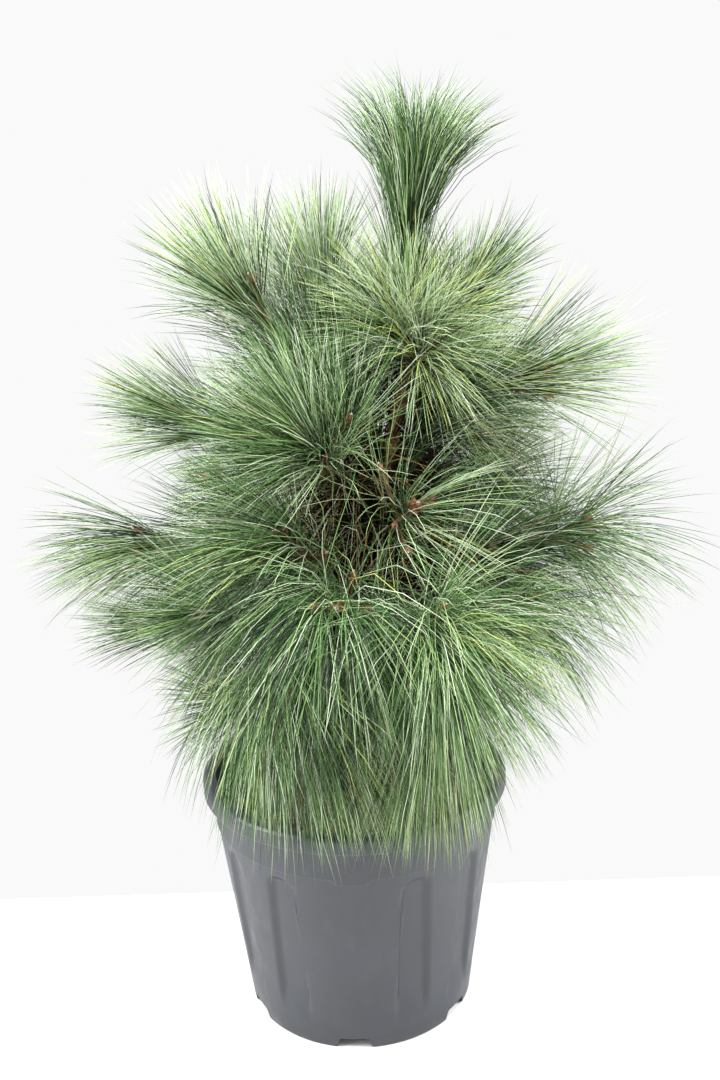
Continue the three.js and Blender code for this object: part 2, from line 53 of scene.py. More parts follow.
# Camera, in metres and degrees
CAMERA_PLACE = (0.0131, -1.150, 0.823)
CAMERA_PITCH = 16.5
CAMERA_ROLL = 1.86
CAMERA_LENS = 42.07

# Floor, in metres: a white sheet that ends a little way behind the pot
FLOOR_SIZE = 14
FLOOR_EDGE = 0.172

# Light: the strength of the white surroundings, then each lamp's place, target and size in metres
# and its power in watts
AMBIENT = 0.95
LAMPS = {
    "side_left": ((-1.9, -0.6, 1.4), (0, 0, 0.5), (1.2, 1.8), 114),
    "side_right": ((1.9, -0.4, 1.3), (0, 0, 0.5), (1.2, 1.8), 106),
    "top": ((-0.2, -0.6, 2.4), (0, 0, 0.4), (1.8, 1.4), 120),
}

# Pot: outer shell
POT_HEIGHT = 250
POT_BASE_RADIUS = 113
COLLAR_Z = 199
BODY_TOP_RADIUS = 138.6
COLLAR_RADIUS = 140
LIP_Z = 232
LIP_RADIUS = 151
LIP_INNER_RADIUS = 137.5
MOUTH_Z = 238

# Pot: flutes either side of one wide plain panel at the front and one at the back. Each flute is
# narrower at its head than at its foot, and all but the middle one of each side lean towards the
# nearer panel.
PANEL_AZIMUTH = -94
FLUTE_PITCH = 30
FLUTE_COUNT = 5
FLUTE_HALF_WIDTHS = (8.7, 5.6)
FLUTE_LEANS = {1: 1.6, 2: 3.6, 3: 0, 4: -3.6, 5: -1.6}
FLUTE_FLANKS = (1.0, 3.4)
FLUTE_DEPTH = 4.2
FLUTE_FOOT = (26, 66)
FLUTE_HEAD = (183, 196)

# Pot: the collar's lower edge, and the small tab in which it dips over the front panel
COLLAR_EDGE = 2.5
TAB_DIP = 5
TAB_OFFSET = 2
TAB_SIDES = (5.5, 8.5)

# Pot: inside, underside, notches and drain holes
FLOOR_THICKNESS = 4
INNER_FOOT_RADIUS = 103
INNER_COLLAR_RADIUS = 132.5
DISC_RADIUS = 70
CHANNEL_RADII = (75, 100)
CHANNEL_HEIGHT = 12
FOOT_RING_RADIUS = 104
NOTCH_COUNT = 6
NOTCH_WIDTHS = (37, 30)
NOTCH_HEIGHT = 12
FOOT_ROUNDING = 1.6
DRAIN_RADIUS = 7
DRAIN_CIRCLE = 88

# Soil. A mesh is given by its number of rings and of sides.
GROUND = 224
SOIL_EDGE_DROP = 4
SOIL_RADIUS = 134.6
SOIL_BOTTOM = 160
SOIL_MESH = (62, 150)
CHIP_COUNT = 520
CHIP_SIZES = (1.6, 5.2)

# Trunk
TRUNK_TOP = 742
TRUNK_LEAN = 64
LEAN_END = 661
LEAN_POWER = 1.6
TRUNK_SWAY = 5
TRUNK_FOOT_RADIUS = 10.5
TRUNK_TOP_RADIUS = 3
FLARE_RADIUS = 5
FLARE_HEIGHT = 14
WHORLS = (308, 412, 532, 655)
WHORL_SWELLING = 1.1
WHORL_LENGTH = 15
BARK_THICKNESS = 1.1
TRUNK_STEP = 2.0
TRUNK_SIDES = 40

# Boughs, shoots and twigs
BOUGH_TIP_RADIUS = 2.6
BOUGH_THICKENING = 0.013
BOUGH_CLIMB = 42
BOUGH_PULL = 0.34
ROOT_SWELLING = 1.4
ROOT_LENGTH = 9
BOUGH_MESH = (44, 14)
SHOOT_RADII = (3.0, 2.5)
SHOOT_LENGTH = 84
CLEARANCE = 0.3
TWIG_ANGLE = 44
TWIG_MESHES = ((24, 10), (12, 7), (9, 6))

# Twigs on each shoot, first the side twigs and then the fine ones: how many, how many steps round
# the shoot the first is turned, from where to where on the shoot they start, how much their angle
# varies, their length as a share of the shoot's, how much that varies, and their radii
TWIG_KINDS = (
    (2, 0, (0.294, 0.546), 0.2, 0.55, 0.15, (2.2, 1.8)),
    (2, 0.5, (0.5, 0.8), 0.25, 0.34, 0.2, (1.7, 1.4)),
)

# Bark relief: distance between pegs along the limb, height of the pegs and height of the flakes
TRUNK_RELIEF = (2.4, 0.7, 0.9)
BOUGH_RELIEF = (1.7, 0.55, 0.28)
TWIG_RELIEF = (1.2, 0.45, 0.16)

# Buds at the ends of a shoot, a side twig and a fine twig: their lengths, and how many smaller
# ones stand round each
BUD_LENGTHS = (17, 11, 8)
SIDE_BUDS = (4, 2, 2)

# Every needle: its shape, and how the fascicles and the needles within one differ
NEEDLE_RADIUS = 0.345
NEEDLE_STEPS = (0.25, 0.29, 0.27, 0.19)
NEEDLE_GIRTHS = (0.85, 1, 0.95, 0.7)
IN_FASCICLE = 5
FASCICLE_SPREAD = 0.16
LENGTH_SPREADS = (0.07, 0.035)
DROOP = 0.3
DROOP_SPREADS = (0.25, 0.12)
NEEDLE_BEND = 0.6
NEEDLE_WANDER = 0.06
NEEDLE_WAVE = 0.07
FROSTED_SHARE = 0.13
# Share of needles dealt the darkest tone, night, as painted shade inside their fascicle
PAINTED_SHADE_SHARE = 0.15

# Needles of the last shoots and their twigs: the least splay at the bud, how much less it is there
# than at the root, then fascicles per millimetre and length on shoots, side twigs and fine twigs
BUD_SPLAY = 6
BUD_CLEAR = 30
TWIG_DENSITY = (1.18, 0.52, 0.42)
YOUNG_LENGTHS = (1, 0.92, 0.85)

# Moods, from 0 for the darkest tones to 1 for the lightest: they rise with height, as painted light
# on the crown's top and painted shade lower down, and each mass and twig strays a little from its
# own
YOUNG_MOOD = 0.38
# Painted light: moods rise with height, lighter on the crown's top and darker lower down
PAINTED_HEIGHT_LIGHT = 0.22
MOOD_HEIGHTS = (380, 740)
MASS_MOOD_SPREAD = 0.09
TWIG_MOOD_SPREAD = 0.1
TONE_SPREAD = 0.25

# Needles of the year before, on the boughs: FRONT_BARE and SIDE_BARE are shares of their length
OLD_WOOD_RADIUS = 3
OLD_DENSITY = 1.1
OLD_SPLAY = (14, 42)
OLD_DROOP = 1.2
# Darker tones for the old needles, partly with age and partly as painted shade inside the crown
OLD_MOOD = 0.2
FRONT_BARE = 0.8
SIDE_BARE = 0.15

# Pale strays, and dead, dry and fallen needles: how many fascicles a bough has, first towards the
# front and then towards the back, the part of it that they stand on, and their splay and droop
STRAY_FASCICLES = (9, 3)
STRAY_RUN = (0.35, 0.95)
STRAY_SPLAY = (30, 110)
STRAY_DROOP = 2.2
DEAD_FASCICLES = (8, 3)
DEAD_RUN = (0.3, 0.8)
DEAD_SPLAY = (50, 100)
DEAD_DROOP = 2.4
DRY_RUN = (0.8, 1)
DRY_SPLAY = (20, 55)
DRY_STRETCH = 1.25
FALLEN_FASCICLES = 60
FALLEN_REACH = 126
FALLEN_LENGTH = 95
FALLEN_DROOP = 0.15

# The open front of the crown. Few needles cross in front of the bare trunk, between two of its
# heights, and few reach into the dark hollow below that. Both openings climb forwards.
WINDOW = (546, 648)
WINDOW_HALF = 6.5
WINDOW_SHARE = 0.15
HOLLOW_MIDDLE = (30, 496)
HOLLOW_RADII = (80, 54)
HOLLOW_SHARE = 0.19
OPENING_SLOPE = 0.25
OPENING_REACH = 2200

# Each bough: height of its root on the trunk, then its bud's azimuth, distance from the pot's
# axis and height, then the azimuth and climb of its last shoot, and last how hard its needles
# droop, their length and how wide their fan opens.
BOUGHS = {
    "upper_right": (652, 20, 140, 712, 20, 48, 0.4, 90, 38),
    "upper_left": (548, 183, 92, 722, 180, 50, 0.2, 114, 44),
    "upper_back": (566, 103, 66, 728, 108, 60, 0.2, 107, 42),
    "high_right": (556, -4, 184, 640, -6, 14, 0.3, 112, 32),
    "high_front_left": (534, -110, 96, 604, -116, 44, 0.4, 120, 54),
    "high_left": (520, 181, 148, 610, 184, 22, 0.4, 96, 22),
    "high_front_right": (506, -60, 118, 540, -70, 30, 0.9, 112, 52),
    "high_back": (530, 84, 126, 634, 86, 40, 0.9, 120, 45),
    "high_back_right": (514, 42, 168, 598, 40, 30, 0.8, 118, 60),
    "middle_left": (420, 180, 186, 482, 181, 4, 0.6, 128, 18),
    "middle_front_left": (436, -116, 122, 520, -120, 36, 1.4, 120, 48),
    "middle_front": (404, -92, 172, 476, -96, 18, 2.1, 148, 72),
    "middle_front_right": (388, -66, 198, 444, -62, 8, 2, 134, 56),
    "middle_right": (422, 0, 226, 486, 2, 12, 1.0, 133, 62),
    "middle_left_front": (386, -142, 160, 446, -146, 6, 0.6, 86, 40),
    "middle_back": (408, 92, 180, 496, 92, 18, 1, 120, 45),
    "middle_back_right": (434, 44, 206, 504, 42, 16, 1, 122, 60),
    "middle_back_left": (398, 138, 192, 514, 140, 20, 1, 62, 34),
    "low_right": (324, -19, 184, 424, -20, 0, 2.0, 118, 58),
    "low_left": (330, 178, 174, 402, 180, 2, 0.1, 108, 12),
    "low_left_front": (298, -150, 132, 350, -152, 4, 0.6, 84, 56),
    "low_front_left": (312, -107, 152, 386, -108, 0, 2.6, 152, 60),
    "low_front_right": (290, -66, 158, 374, -64, -4, 2.5, 140, 56),
    "low_back": (302, 92, 160, 380, 92, 0, 2, 120, 50),
    "low_back_right": (314, 44, 178, 388, 44, 2, 1.3, 106, 44),
    "low_back_left": (288, 136, 170, 378, 136, 0, 1.2, 88, 40),
}

# Shoots that stand on the trunk itself: height of the root, azimuth, climb and length, then
# their needles' droop, length and fan.
TRUNK_SHOOTS = {
    "crown_front_left": (650, -124, 58, 44, 0.8, 100, 62),
    "crown_front_right": (634, -50, 40, 48, 1.1, 102, 62),
    "crown_back": (672, 84, 46, 44, 0.8, 90, 42),
}
LEADER_BUD = (67, 0, 780)
LEADER_DROOP = 0.1
LEADER_NEEDLE_LENGTH = 116
LEADER_SPLAY = 9
LEADER_FAN = (0.0, 1.4)
LEADER_SPRING = 0.85

# The part of a needle in which its tip flares out, and the part in which it leans with its mass
FLARE_RUN = (0.42, 1.0)
TILT_RUN = (0, 0.5)

# How some masses differ from the rest: their mood, how far their side twigs part, which way their
# needles lean from their shoot and how dense they are
PLAIN = (0, 1, (0, 0, 0), 1)
CHARACTERS = {
    "leader": (-0.07, 0.25, (0.04, 0, 0), 2.25),
    "crown_front_left": (0.2, 1, (0, 0, 0), 1),
    "crown_front_right": (0.2, 1, (0, 0, 0), 1),
    "upper_right": (0, 1, (0, 0, 0), 0.6),
    "upper_left": (-0.03, 0.6, (0, 0, 0.11), 0.55),
    "upper_back": (0, 0.8, (0.05, 0, 0.06), 0.7),
    "high_right": (-0.02, 0.6, (0, 0, 0.13), 0.37),
    "high_front_left": (0, 1, (-0.3, 0, 0.16), 1.25),
    "high_left": (0.07, 0.5, (0, 0, 0.16), 0.46),
    "high_front_right": (0, 1, (0.3, 0, 0.05), 1.2),
    "middle_left": (0.15, 0.45, (0, 0, -0.09), 0.42),
    "middle_front_left": (0, 1, (-0.28, 0, 0.1), 1.15),
    "middle_front": (-0.1, 1, (0, 0, -0.4), 1.2),
    "middle_front_right": (0.1, 1, (0, 0, 0), 1.15),
    "middle_right": (0.06, 0.75, (0, 0, -0.07), 0.43),
    "middle_left_front": (0.1, 1, (0, 0, 0.15), 0.65),
    "middle_back_left": (0, 1, (0, 0, 0), 0.35),
    "low_right": (0.05, 1, (0, 0, 0), 0.4),
    "low_left": (0, 0.4, (0, 0, -0.08), 0.27),
    "low_left_front": (0, 0.7, (0.05, 0, 0.3), 0.56),
    "low_front_left": (0.05, 1, (0.5, 0, -0.3), 1.5),
    "low_front_right": (0, 1, (-0.5, 0, -0.35), 1.5),
}

# Rings of needles on the trunk under the leader, each with its heights, number of fascicles,
# splay, droop, length, the flare of its tips, how far it springs from the bark and its mood
UMBRELLA = (
    ((642, 700), 80, (42, 86), 0.6, 114, (0, 0), 0, 0.88),
    ((690, 742), 30, (3, 8), 0.1, 108, (0, 0.3), 0.85, 0.5),
)

# Dead needles round the trunk, in the same terms, and how much thicker they are. Their near-black
# brown is partly the dead needles' own colour and partly painted shade of the crown's hollow.
TANGLE = (
    ((300, 400), 150, (30, 120), 0.5, 70, (0, 0), 0, 0),
    ((400, 520), 330, (20, 120), 0.3, 66, (0, 0), 0, 0),
    ((430, 570), 260, (55, 105), 0.3, 94, (0, 0), 0, 0),
    ((520, 650), 110, (30, 100), 0.5, 58, (0, 0), 0, 0),
)
TANGLE_GIRTH = 2

# The needles' colours, each with its share of the green ones
TONES = {
    # night is also the painted shade dealt to a share of every fascicle's needles
    "night": ("#111d0b", 0.10),
    "deep": ("#233b19", 0.16),
    "leaf": ("#3a582e", 0.18),
    "fresh": ("#587644", 0.19),
    "grass": ("#7d945f", 0.16),
    "pale": ("#9dad86", 0.13),
    "bloom": ("#9caa90", 0.03),
    "lime": ("#9aa25a", 0.05),
}
STRAY_TONE = "#8e997b"
# The tangle's near-black brown: dead needles' colour, darkened as painted shade of the hollow
TANGLE_DEAD_AND_SHADE_TONE = "#1a140b"
DEAD_TONE = "#705d3c"

# Boughs that carry dry brown needles among the green ones, with the number of fascicles
DRY = {
    "low_front_right": 16,
    "low_front_left": 6,
    "low_left": 10,
    "low_right": 8,
    "high_front_left": 5,
}


# Helpers

def unit(vectors):
    return vectors / np.linalg.norm(vectors, axis=-1, keepdims=True)


def lerp(low, high, t):
    return low + (high - low) * t


def smoothstep(low, high, value):
    t = np.clip((value - low) / (high - low), 0, 1)
    return t * t * (3 - 2 * t)


def direction(azimuth, climb):
    a, c = math.radians(azimuth), math.radians(climb)
    return np.array([math.cos(c) * math.cos(a), math.cos(c) * math.sin(a), math.sin(c)])


def random_from(seed):
    """Repeatable random numbers from 0 to 1"""
    state = seed & 0xFFFFFFFF

    def draw():
        nonlocal state
        state = (state + 0x6D2B79F5) & 0xFFFFFFFF
        t = ((state ^ (state >> 15)) * (1 | state)) & 0xFFFFFFFF
        t = ((t + ((t ^ (t >> 7)) * (61 | t) & 0xFFFFFFFF)) & 0xFFFFFFFF) ^ t
        return (t ^ (t >> 14)) / 4294967296

    return draw


def vary(share, random):
    """A factor that lies within a share either side of 1"""
    return 1 + share * (2 * random() - 1)


def smooth_noise(points, cell, seed):
    """Smooth random heights from -1 to 1, with bumps about one cell wide"""
    grid = np.asarray(points, float) / cell
    base = np.floor(grid).astype(np.int64)
    part = grid - base
    part = part * part * (3 - 2 * part)
    total = np.zeros(grid.shape[:-1])
    for corner in itertools.product((0, 1), repeat=3):
        key = (base + corner) @ np.array([73856093, 19349663, 83492791]) + 7919 * seed
        key = ((key ^ (key >> 13)) * 1274126177) & 0x7FFFFFFF
        height = ((key ^ (key >> 15)) % 65536) / 32767.5 - 1
        total += height * np.prod(np.where(corner, part, 1 - part), axis=-1)
    return total


def grid_faces(rows, columns):
    """Triangles over rings of points, each ring closed on itself"""
    i, k = np.meshgrid(np.arange(rows - 1), np.arange(columns), indexing="ij")
    a = (i * columns + k).ravel()
    b = (i * columns + (k + 1) % columns).ravel()
    upper = np.stack([a, b, b + columns], 1)
    lower = np.stack([a, b + columns, a + columns], 1)
    return np.concatenate([upper, lower])


def closed_faces(rows, columns):
    """Triangles over rings of points and over both ends, whose middles come after the rings"""
    around = np.arange(columns)
    after = (around + 1) % columns
    last = (rows - 1) * columns
    foot = np.full(columns, rows * columns)
    foot_cap = np.stack([foot, after, around], 1)
    head_cap = np.stack([foot + 1, last + around, last + after], 1)
    return np.concatenate([grid_faces(rows, columns), foot_cap, head_cap])


def ringed(profile, turn, middles):
    """A body of rings round the Z axis, each with a radius and height that are plain or vary with
    the turn, and closed by two points on the axis"""
    around = np.stack([np.cos(turn), np.sin(turn)], -1)
    rings = []
    for radius, z in profile:
        flat = around * np.broadcast_to(radius, turn.shape)[:, None]
        rings.append(np.column_stack([flat, np.broadcast_to(z, turn.shape)]))
    ends = np.array([[0, 0, z] for z in middles])
    return np.concatenate([*rings, ends]), closed_faces(len(rings), len(turn))


def joined(bodies):
    """Several bodies, each of points and triangles, as one"""
    start = 0
    points, faces = [], []
    for body_points, body_faces in bodies:
        points.append(body_points)
        faces.append(body_faces + start)
        start += len(body_points)
    return np.concatenate(points), np.concatenate(faces)


def add_piece(name, body, material, replaced=(), smooth_below=None):
    """An object made from points and triangles, which rides with the plant"""
    points, faces = body
    mesh = bpy.data.meshes.new(name)
    mesh.vertices.add(len(points))
    mesh.vertices.foreach_set("co", (MM * points).astype(np.float32).ravel())
    mesh.loops.add(faces.size)
    mesh.loops.foreach_set("vertex_index", faces.astype(np.int32).ravel())
    mesh.polygons.add(len(faces))
    mesh.polygons.foreach_set("loop_start", np.arange(0, faces.size, 3, dtype=np.int32))
    mesh.update(calc_edges=True)
    if smooth_below:
        mesh.shade_smooth()
        mesh.set_sharp_from_angle(angle=math.radians(smooth_below))
    mesh.materials.append(material)
    piece = bpy.data.objects.new(name, mesh)
    bpy.context.scene.collection.objects.link(piece)
    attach(piece, "root")
    if replaced:
        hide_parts(*replaced)
    return piece


# Looks

class Look:
    """A material under construction, with short ways to add and link its nodes"""

    def __init__(self, name, roughness, **fixed):
        self.material = bpy.data.materials.new(name)
        self.material.use_nodes = True
        self.nodes = self.material.node_tree.nodes
        self.links = self.material.node_tree.links
        self.shader = self.nodes["Principled BSDF"]
        self.shader.inputs["Roughness"].default_value = roughness
        for socket, value in fixed.items():
            self.shader.inputs[socket.replace("_", " ")].default_value = value
        self.place = self.nodes.new("ShaderNodeTexCoord").outputs["Object"]

    def noise(self, scale, detail=3.0, stretch=(1, 1, 1), kind="ShaderNodeTexNoise"):
        mapping = self.nodes.new("ShaderNodeMapping")
        mapping.inputs["Scale"].default_value = stretch
        self.links.new(self.place, mapping.inputs["Vector"])
        node = self.nodes.new(kind)
        node.inputs["Scale"].default_value = scale
        if "Detail" in node.inputs:
            node.inputs["Detail"].default_value = detail
        self.links.new(mapping.outputs["Vector"], node.inputs["Vector"])
        return node.outputs["Distance" if kind == "ShaderNodeTexVoronoi" else "Fac"]

    def ramp(self, value, *stops):
        """Colours or greys that follow a value, each with its place"""
        node = self.nodes.new("ShaderNodeValToRGB")
        while len(node.color_ramp.elements) < len(stops):
            node.color_ramp.elements.new(0.5)
        for element, (at, tone) in zip(node.color_ramp.elements, stops):
            element.position = at
            element.color = colour(tone) if isinstance(tone, str) else grey(tone)
        self.links.new(value, node.inputs["Fac"])
        return node.outputs["Color"]

    def mix(self, share, one, other):
        node = self.nodes.new("ShaderNodeMix")
        node.data_type = "RGBA"
        sockets = (node.inputs[0], node.inputs[6], node.inputs[7])
        for socket, value in zip(sockets, (share, one, other)):
            if isinstance(value, bpy.types.NodeSocket):
                self.links.new(value, socket)
            else:
                socket.default_value = value
        return node.outputs[2]

    def bump(self, *layers):
        """Bumps from several heights, each with its depth in metres and strength"""
        normal = None
        for height, depth, strength in layers:
            node = self.nodes.new("ShaderNodeBump")
            node.inputs["Distance"].default_value = depth
            node.inputs["Strength"].default_value = strength
            self.links.new(height, node.inputs["Height"])
            if normal:
                self.links.new(normal, node.inputs["Normal"])
            normal = node.outputs["Normal"]
        self.links.new(normal, self.shader.inputs["Normal"])

    def drive(self, socket, value):
        self.links.new(value, self.shader.inputs[socket])


def colour(code, gain=1.0):
    """A colour written as #rrggbb, as the shader's linear light"""
    parts = [int(code[i : i + 2], 16) / 255 for i in (1, 3, 5)]
    linear = [p / 12.92 if p <= 0.04045 else ((p + 0.055) / 1.055) ** 2.4 for p in parts]
    return (*(gain * p for p in linear), 1.0)


def grey(level):
    return (level, level, level, 1.0)


def needle_look(name, code, shine=0.22):
    look = Look(name, 0.42, Specular_IOR_Level=shine)
    patches = look.noise(26, 2)
    look.drive("Base Color", look.mix(patches, colour(code, 0.8), colour(code, 1.22)))
    look.drive("Roughness", look.ramp(look.noise(180, 2), (0.3, 0.34), (0.7, 0.52)))
    look.bump((look.noise(1500, 1), 0.0002, 0.25))
    return look.material


def bark_look(name, ridge, hollow, flake):
    look = Look(name, 0.85)
    scales = look.noise(260, 4, (1, 1, 0.45), "ShaderNodeTexVoronoi")
    grain = look.noise(420, 6, (1, 1, 0.5))
    patches = look.noise(38, 3)
    wood = look.ramp(grain, (0.3, hollow), (0.5, ridge), (0.72, flake))
    wood = look.mix(patches, wood, colour(ridge, 0.7))
    look.drive("Base Color", wood)
    look.drive("Roughness", look.ramp(grain, (0.3, 0.95), (0.7, 0.68)))
    look.bump((scales, 0.0009, 0.7), (grain, 0.0006, 0.8))
    return look.material


def bud_look():
    look = Look("bud_scales", 0.5)
    grain = look.noise(700, 4)
    edge = look.noise(260, 2, kind="ShaderNodeTexVoronoi")
    body = look.ramp(grain, (0.3, "#351710"), (0.55, "#683521"), (0.78, "#946650"))
    look.drive("Base Color", look.mix(edge, body, colour("#7d4c38")))
    look.drive("Roughness", look.ramp(grain, (0.3, 0.4), (0.7, 0.65)))
    look.bump((grain, 0.0003, 0.6))
    return look.material


def resin_look():
    look = Look("resin", 0.25, Subsurface_Weight=0.3)
    grain = look.noise(900, 3)
    look.drive("Base Color", look.ramp(grain, (0.35, "#a58c7c"), (0.65, "#d6c8be")))
    look.bump((grain, 0.0003, 0.5))
    return look.material


def plastic_look():
    look = Look("pot_plastic", 0.4, Specular_IOR_Level=0.5)
    cloud = look.noise(14, 5)
    dust = look.noise(75, 8, (1, 1, 0.5))
    specks = look.noise(520, 2)
    body = look.ramp(cloud, (0.3, "#171b22"), (0.7, "#1d2129"))
    dusty = look.ramp(dust, (0.5, 0), (0.85, 0.06))
    body = look.mix(dusty, body, colour("#8b8984"))
    marks = look.ramp(specks, (0.78, 0), (0.84, 0.35))
    look.drive("Base Color", look.mix(marks, body, colour("#a9a49a")))
    look.drive("Roughness", look.ramp(dust, (0.35, 0.36), (0.75, 0.56)))
    look.bump((look.noise(1700, 2), 0.00008, 0.35), (look.noise(32, 3), 0.0005, 0.25))
    return look.material


def soil_look():
    look = Look("peat", 0.95)
    lumps = look.noise(150, 8)
    crumbs = look.noise(620, 5)
    body = look.ramp(lumps, (0.35, "#140d08"), (0.55, "#2d1e13"), (0.75, "#4a3320"))
    look.drive("Base Color", look.mix(crumbs, body, colour("#20150d")))
    look.bump((lumps, 0.002, 0.8), (crumbs, 0.0008, 0.8))
    return look.material


def chip_look():
    look = Look("bark_chips", 0.85)
    grain = look.noise(300, 6)
    body = look.ramp(grain, (0.3, "#2c180d"), (0.52, "#5c351d"), (0.74, "#8a5e39"))
    look.drive("Base Color", look.mix(look.noise(45, 2), body, colour("#5a341e")))
    look.bump((grain, 0.0008, 0.8))
    return look.material


def floor_look(name, code):
    look = Look(name, 0.6)
    cloud = look.noise(3, 3)
    look.drive("Base Color", look.mix(cloud, colour(code), colour(code, 0.985)))
    return look.material


# Limbs

def tube(centres, radii, sides, relief=None):
    """A closed round limb along a line of centres, with a relief that depends on the distance
    along it and the turn round it"""
    along = unit(np.gradient(centres, axis=0))
    across = np.empty_like(centres)
    lead = np.array([0.0, 1.0, 0.0]) if abs(along[0][1]) < 0.9 else np.array([1.0, 0.0, 0.0])
    for i, way in enumerate(along):
        lead = lead - way * (lead @ way)
        lead = lead / np.linalg.norm(lead)
        across[i] = lead
    over = np.cross(along, across)
    turn = 2 * math.pi * np.arange(sides) / sides
    run = np.concatenate([[0], np.cumsum(np.linalg.norm(np.diff(centres, axis=0), axis=1))])
    reach = np.repeat(np.asarray(radii, float)[:, None], sides, 1)
    if relief:
        reach = reach + relief(run[:, None], turn[None, :], reach)
    cos, sin = np.cos(turn)[None, :, None], np.sin(turn)[None, :, None]
    ring = cos * across[:, None] + sin * over[:, None]
    points = (centres[:, None] + reach[..., None] * ring).reshape(-1, 3)
    points = np.concatenate([points, centres[:1], centres[-1:]])
    return points, closed_faces(len(centres), sides)


def bark_relief(peg_step, peg_height, flake_height, seed):
    """Bark with pegs set in a spiral, where fascicles stood, and loose scales between them"""

    def relief(run, turn, radius):
        nearest = np.round(run / peg_step)
        pegs = np.zeros(np.broadcast(run, turn).shape)
        for offset in range(-10, 11):
            peg = nearest + offset
            gap = (turn - np.radians(GOLDEN_ANGLE) * peg + math.pi) % (2 * math.pi) - math.pi
            far2 = (run - peg * peg_step) ** 2 / 2.6 + (gap * radius) ** 2
            pegs = np.maximum(pegs, np.exp(-far2 / 1.6))
        place = np.stack(
            np.broadcast_arrays(radius * np.cos(turn), radius * np.sin(turn), 0.5 * run), -1
        )
        flakes = smooth_noise(place, 2.6, seed) + 0.6 * smooth_noise(place, 1.3, seed + 1)
        return peg_height * pegs + flake_height * flakes

    return relief


def trunk_at(z):
    """The trunk's middle at a height: it leans to the right up to its last whorl"""
    z = np.asarray(z, float)
    share = np.clip((z - GROUND) / (LEAN_END - GROUND), 0, None)
    x = TRUNK_LEAN * np.minimum(1, share) ** LEAN_POWER
    y = np.where(share < 1, -TRUNK_SWAY * np.sin(math.pi * share), 0)
    return np.stack([x, y, z], -1)


def trunk_radius(z):
    z = np.asarray(z, float)
    t = (z - GROUND) / (TRUNK_TOP - GROUND)
    taper = lerp(TRUNK_TOP_RADIUS, TRUNK_FOOT_RADIUS, np.clip(1 - t, 0, None) ** 1.1)
    return taper + FLARE_RADIUS * np.exp((GROUND - z) / FLARE_HEIGHT)


def make_trunk():
    heights = np.arange(GROUND, TRUNK_TOP + 0.1, TRUNK_STEP)
    radii = trunk_radius(heights)
    for whorl in WHORLS:
        radii = radii + WHORL_SWELLING * np.exp(-(((heights - whorl) / WHORL_LENGTH) ** 2))
    relief = bark_relief(*TRUNK_RELIEF, 5)
    return tube(trunk_at(heights), radii + BARK_THICKNESS, TRUNK_SIDES, relief)


def bezier(points, t):
    a, b, c, d = (np.asarray(p) for p in points)
    t = np.asarray(t, float)[..., None]
    s = 1 - t
    return s**3 * a + 3 * s**2 * t * b + 3 * s * t**2 * c + t**3 * d


def bough_curve(row):
    """One bough's curve from the trunk's middle to where its last shoot begins"""
    root_height, azimuth, reach, height, shoot_azimuth, shoot_climb = row[:6]
    root = trunk_at(root_height)
    heading = direction(shoot_azimuth, shoot_climb)
    a = math.radians(azimuth)
    bud = np.array([reach * math.cos(a), reach * math.sin(a), height])
    tip = bud - SHOOT_LENGTH * heading
    span = np.linalg.norm(tip - root)
    away = math.degrees(math.atan2(tip[1] - root[1], tip[0] - root[0]))
    start = direction(away, BOUGH_CLIMB)
    points = (root, root + BOUGH_PULL * span * start, tip - BOUGH_PULL * span * heading, tip)
    return {"points": points, "heading": heading, "span": span, "needles": row[6:]}


def make_bough(bough, seed):
    rings, sides = BOUGH_MESH
    t = np.linspace(0.02, 1, rings)
    span = bough["span"]
    radii = lerp(BOUGH_TIP_RADIUS + BOUGH_THICKENING * span, BOUGH_TIP_RADIUS, t)
    radii = radii + ROOT_SWELLING * np.exp(-t * span / ROOT_LENGTH)
    return tube(bezier(bough["points"], t), radii, sides, bark_relief(*BOUGH_RELIEF, seed))


# Shoots and twigs

def grow_twigs(root, heading, length, fork, random):
    """A mass's shoot and its twigs, as straight runs with a radius at each end"""
    bud = root + length * heading
    twigs = [{"from": root, "to": bud, "radii": SHOOT_RADII, "rank": 0}]
    aside = unit(np.cross(heading, DOWN))
    over = np.cross(aside, heading)
    first_turn = 2 * math.pi * random()
    for rank, (count, offset, run, swing, ratio, stretch, radii) in enumerate(TWIG_KINDS, 1):
        for k in range(count):
            turn = first_turn + 2 * math.pi * (k + offset + 0.3 * random()) / count
            start = root + (bud - root) * lerp(*run, random())
            angle = math.radians(TWIG_ANGLE * fork * vary(swing, random))
            out = math.cos(turn) * aside + math.sin(turn) * over
            way = math.cos(angle) * heading + math.sin(angle) * out
            end = start + length * ratio * vary(stretch, random) * way
            twigs.append({"from": start, "to": end, "radii": radii, "rank": rank})
    return twigs


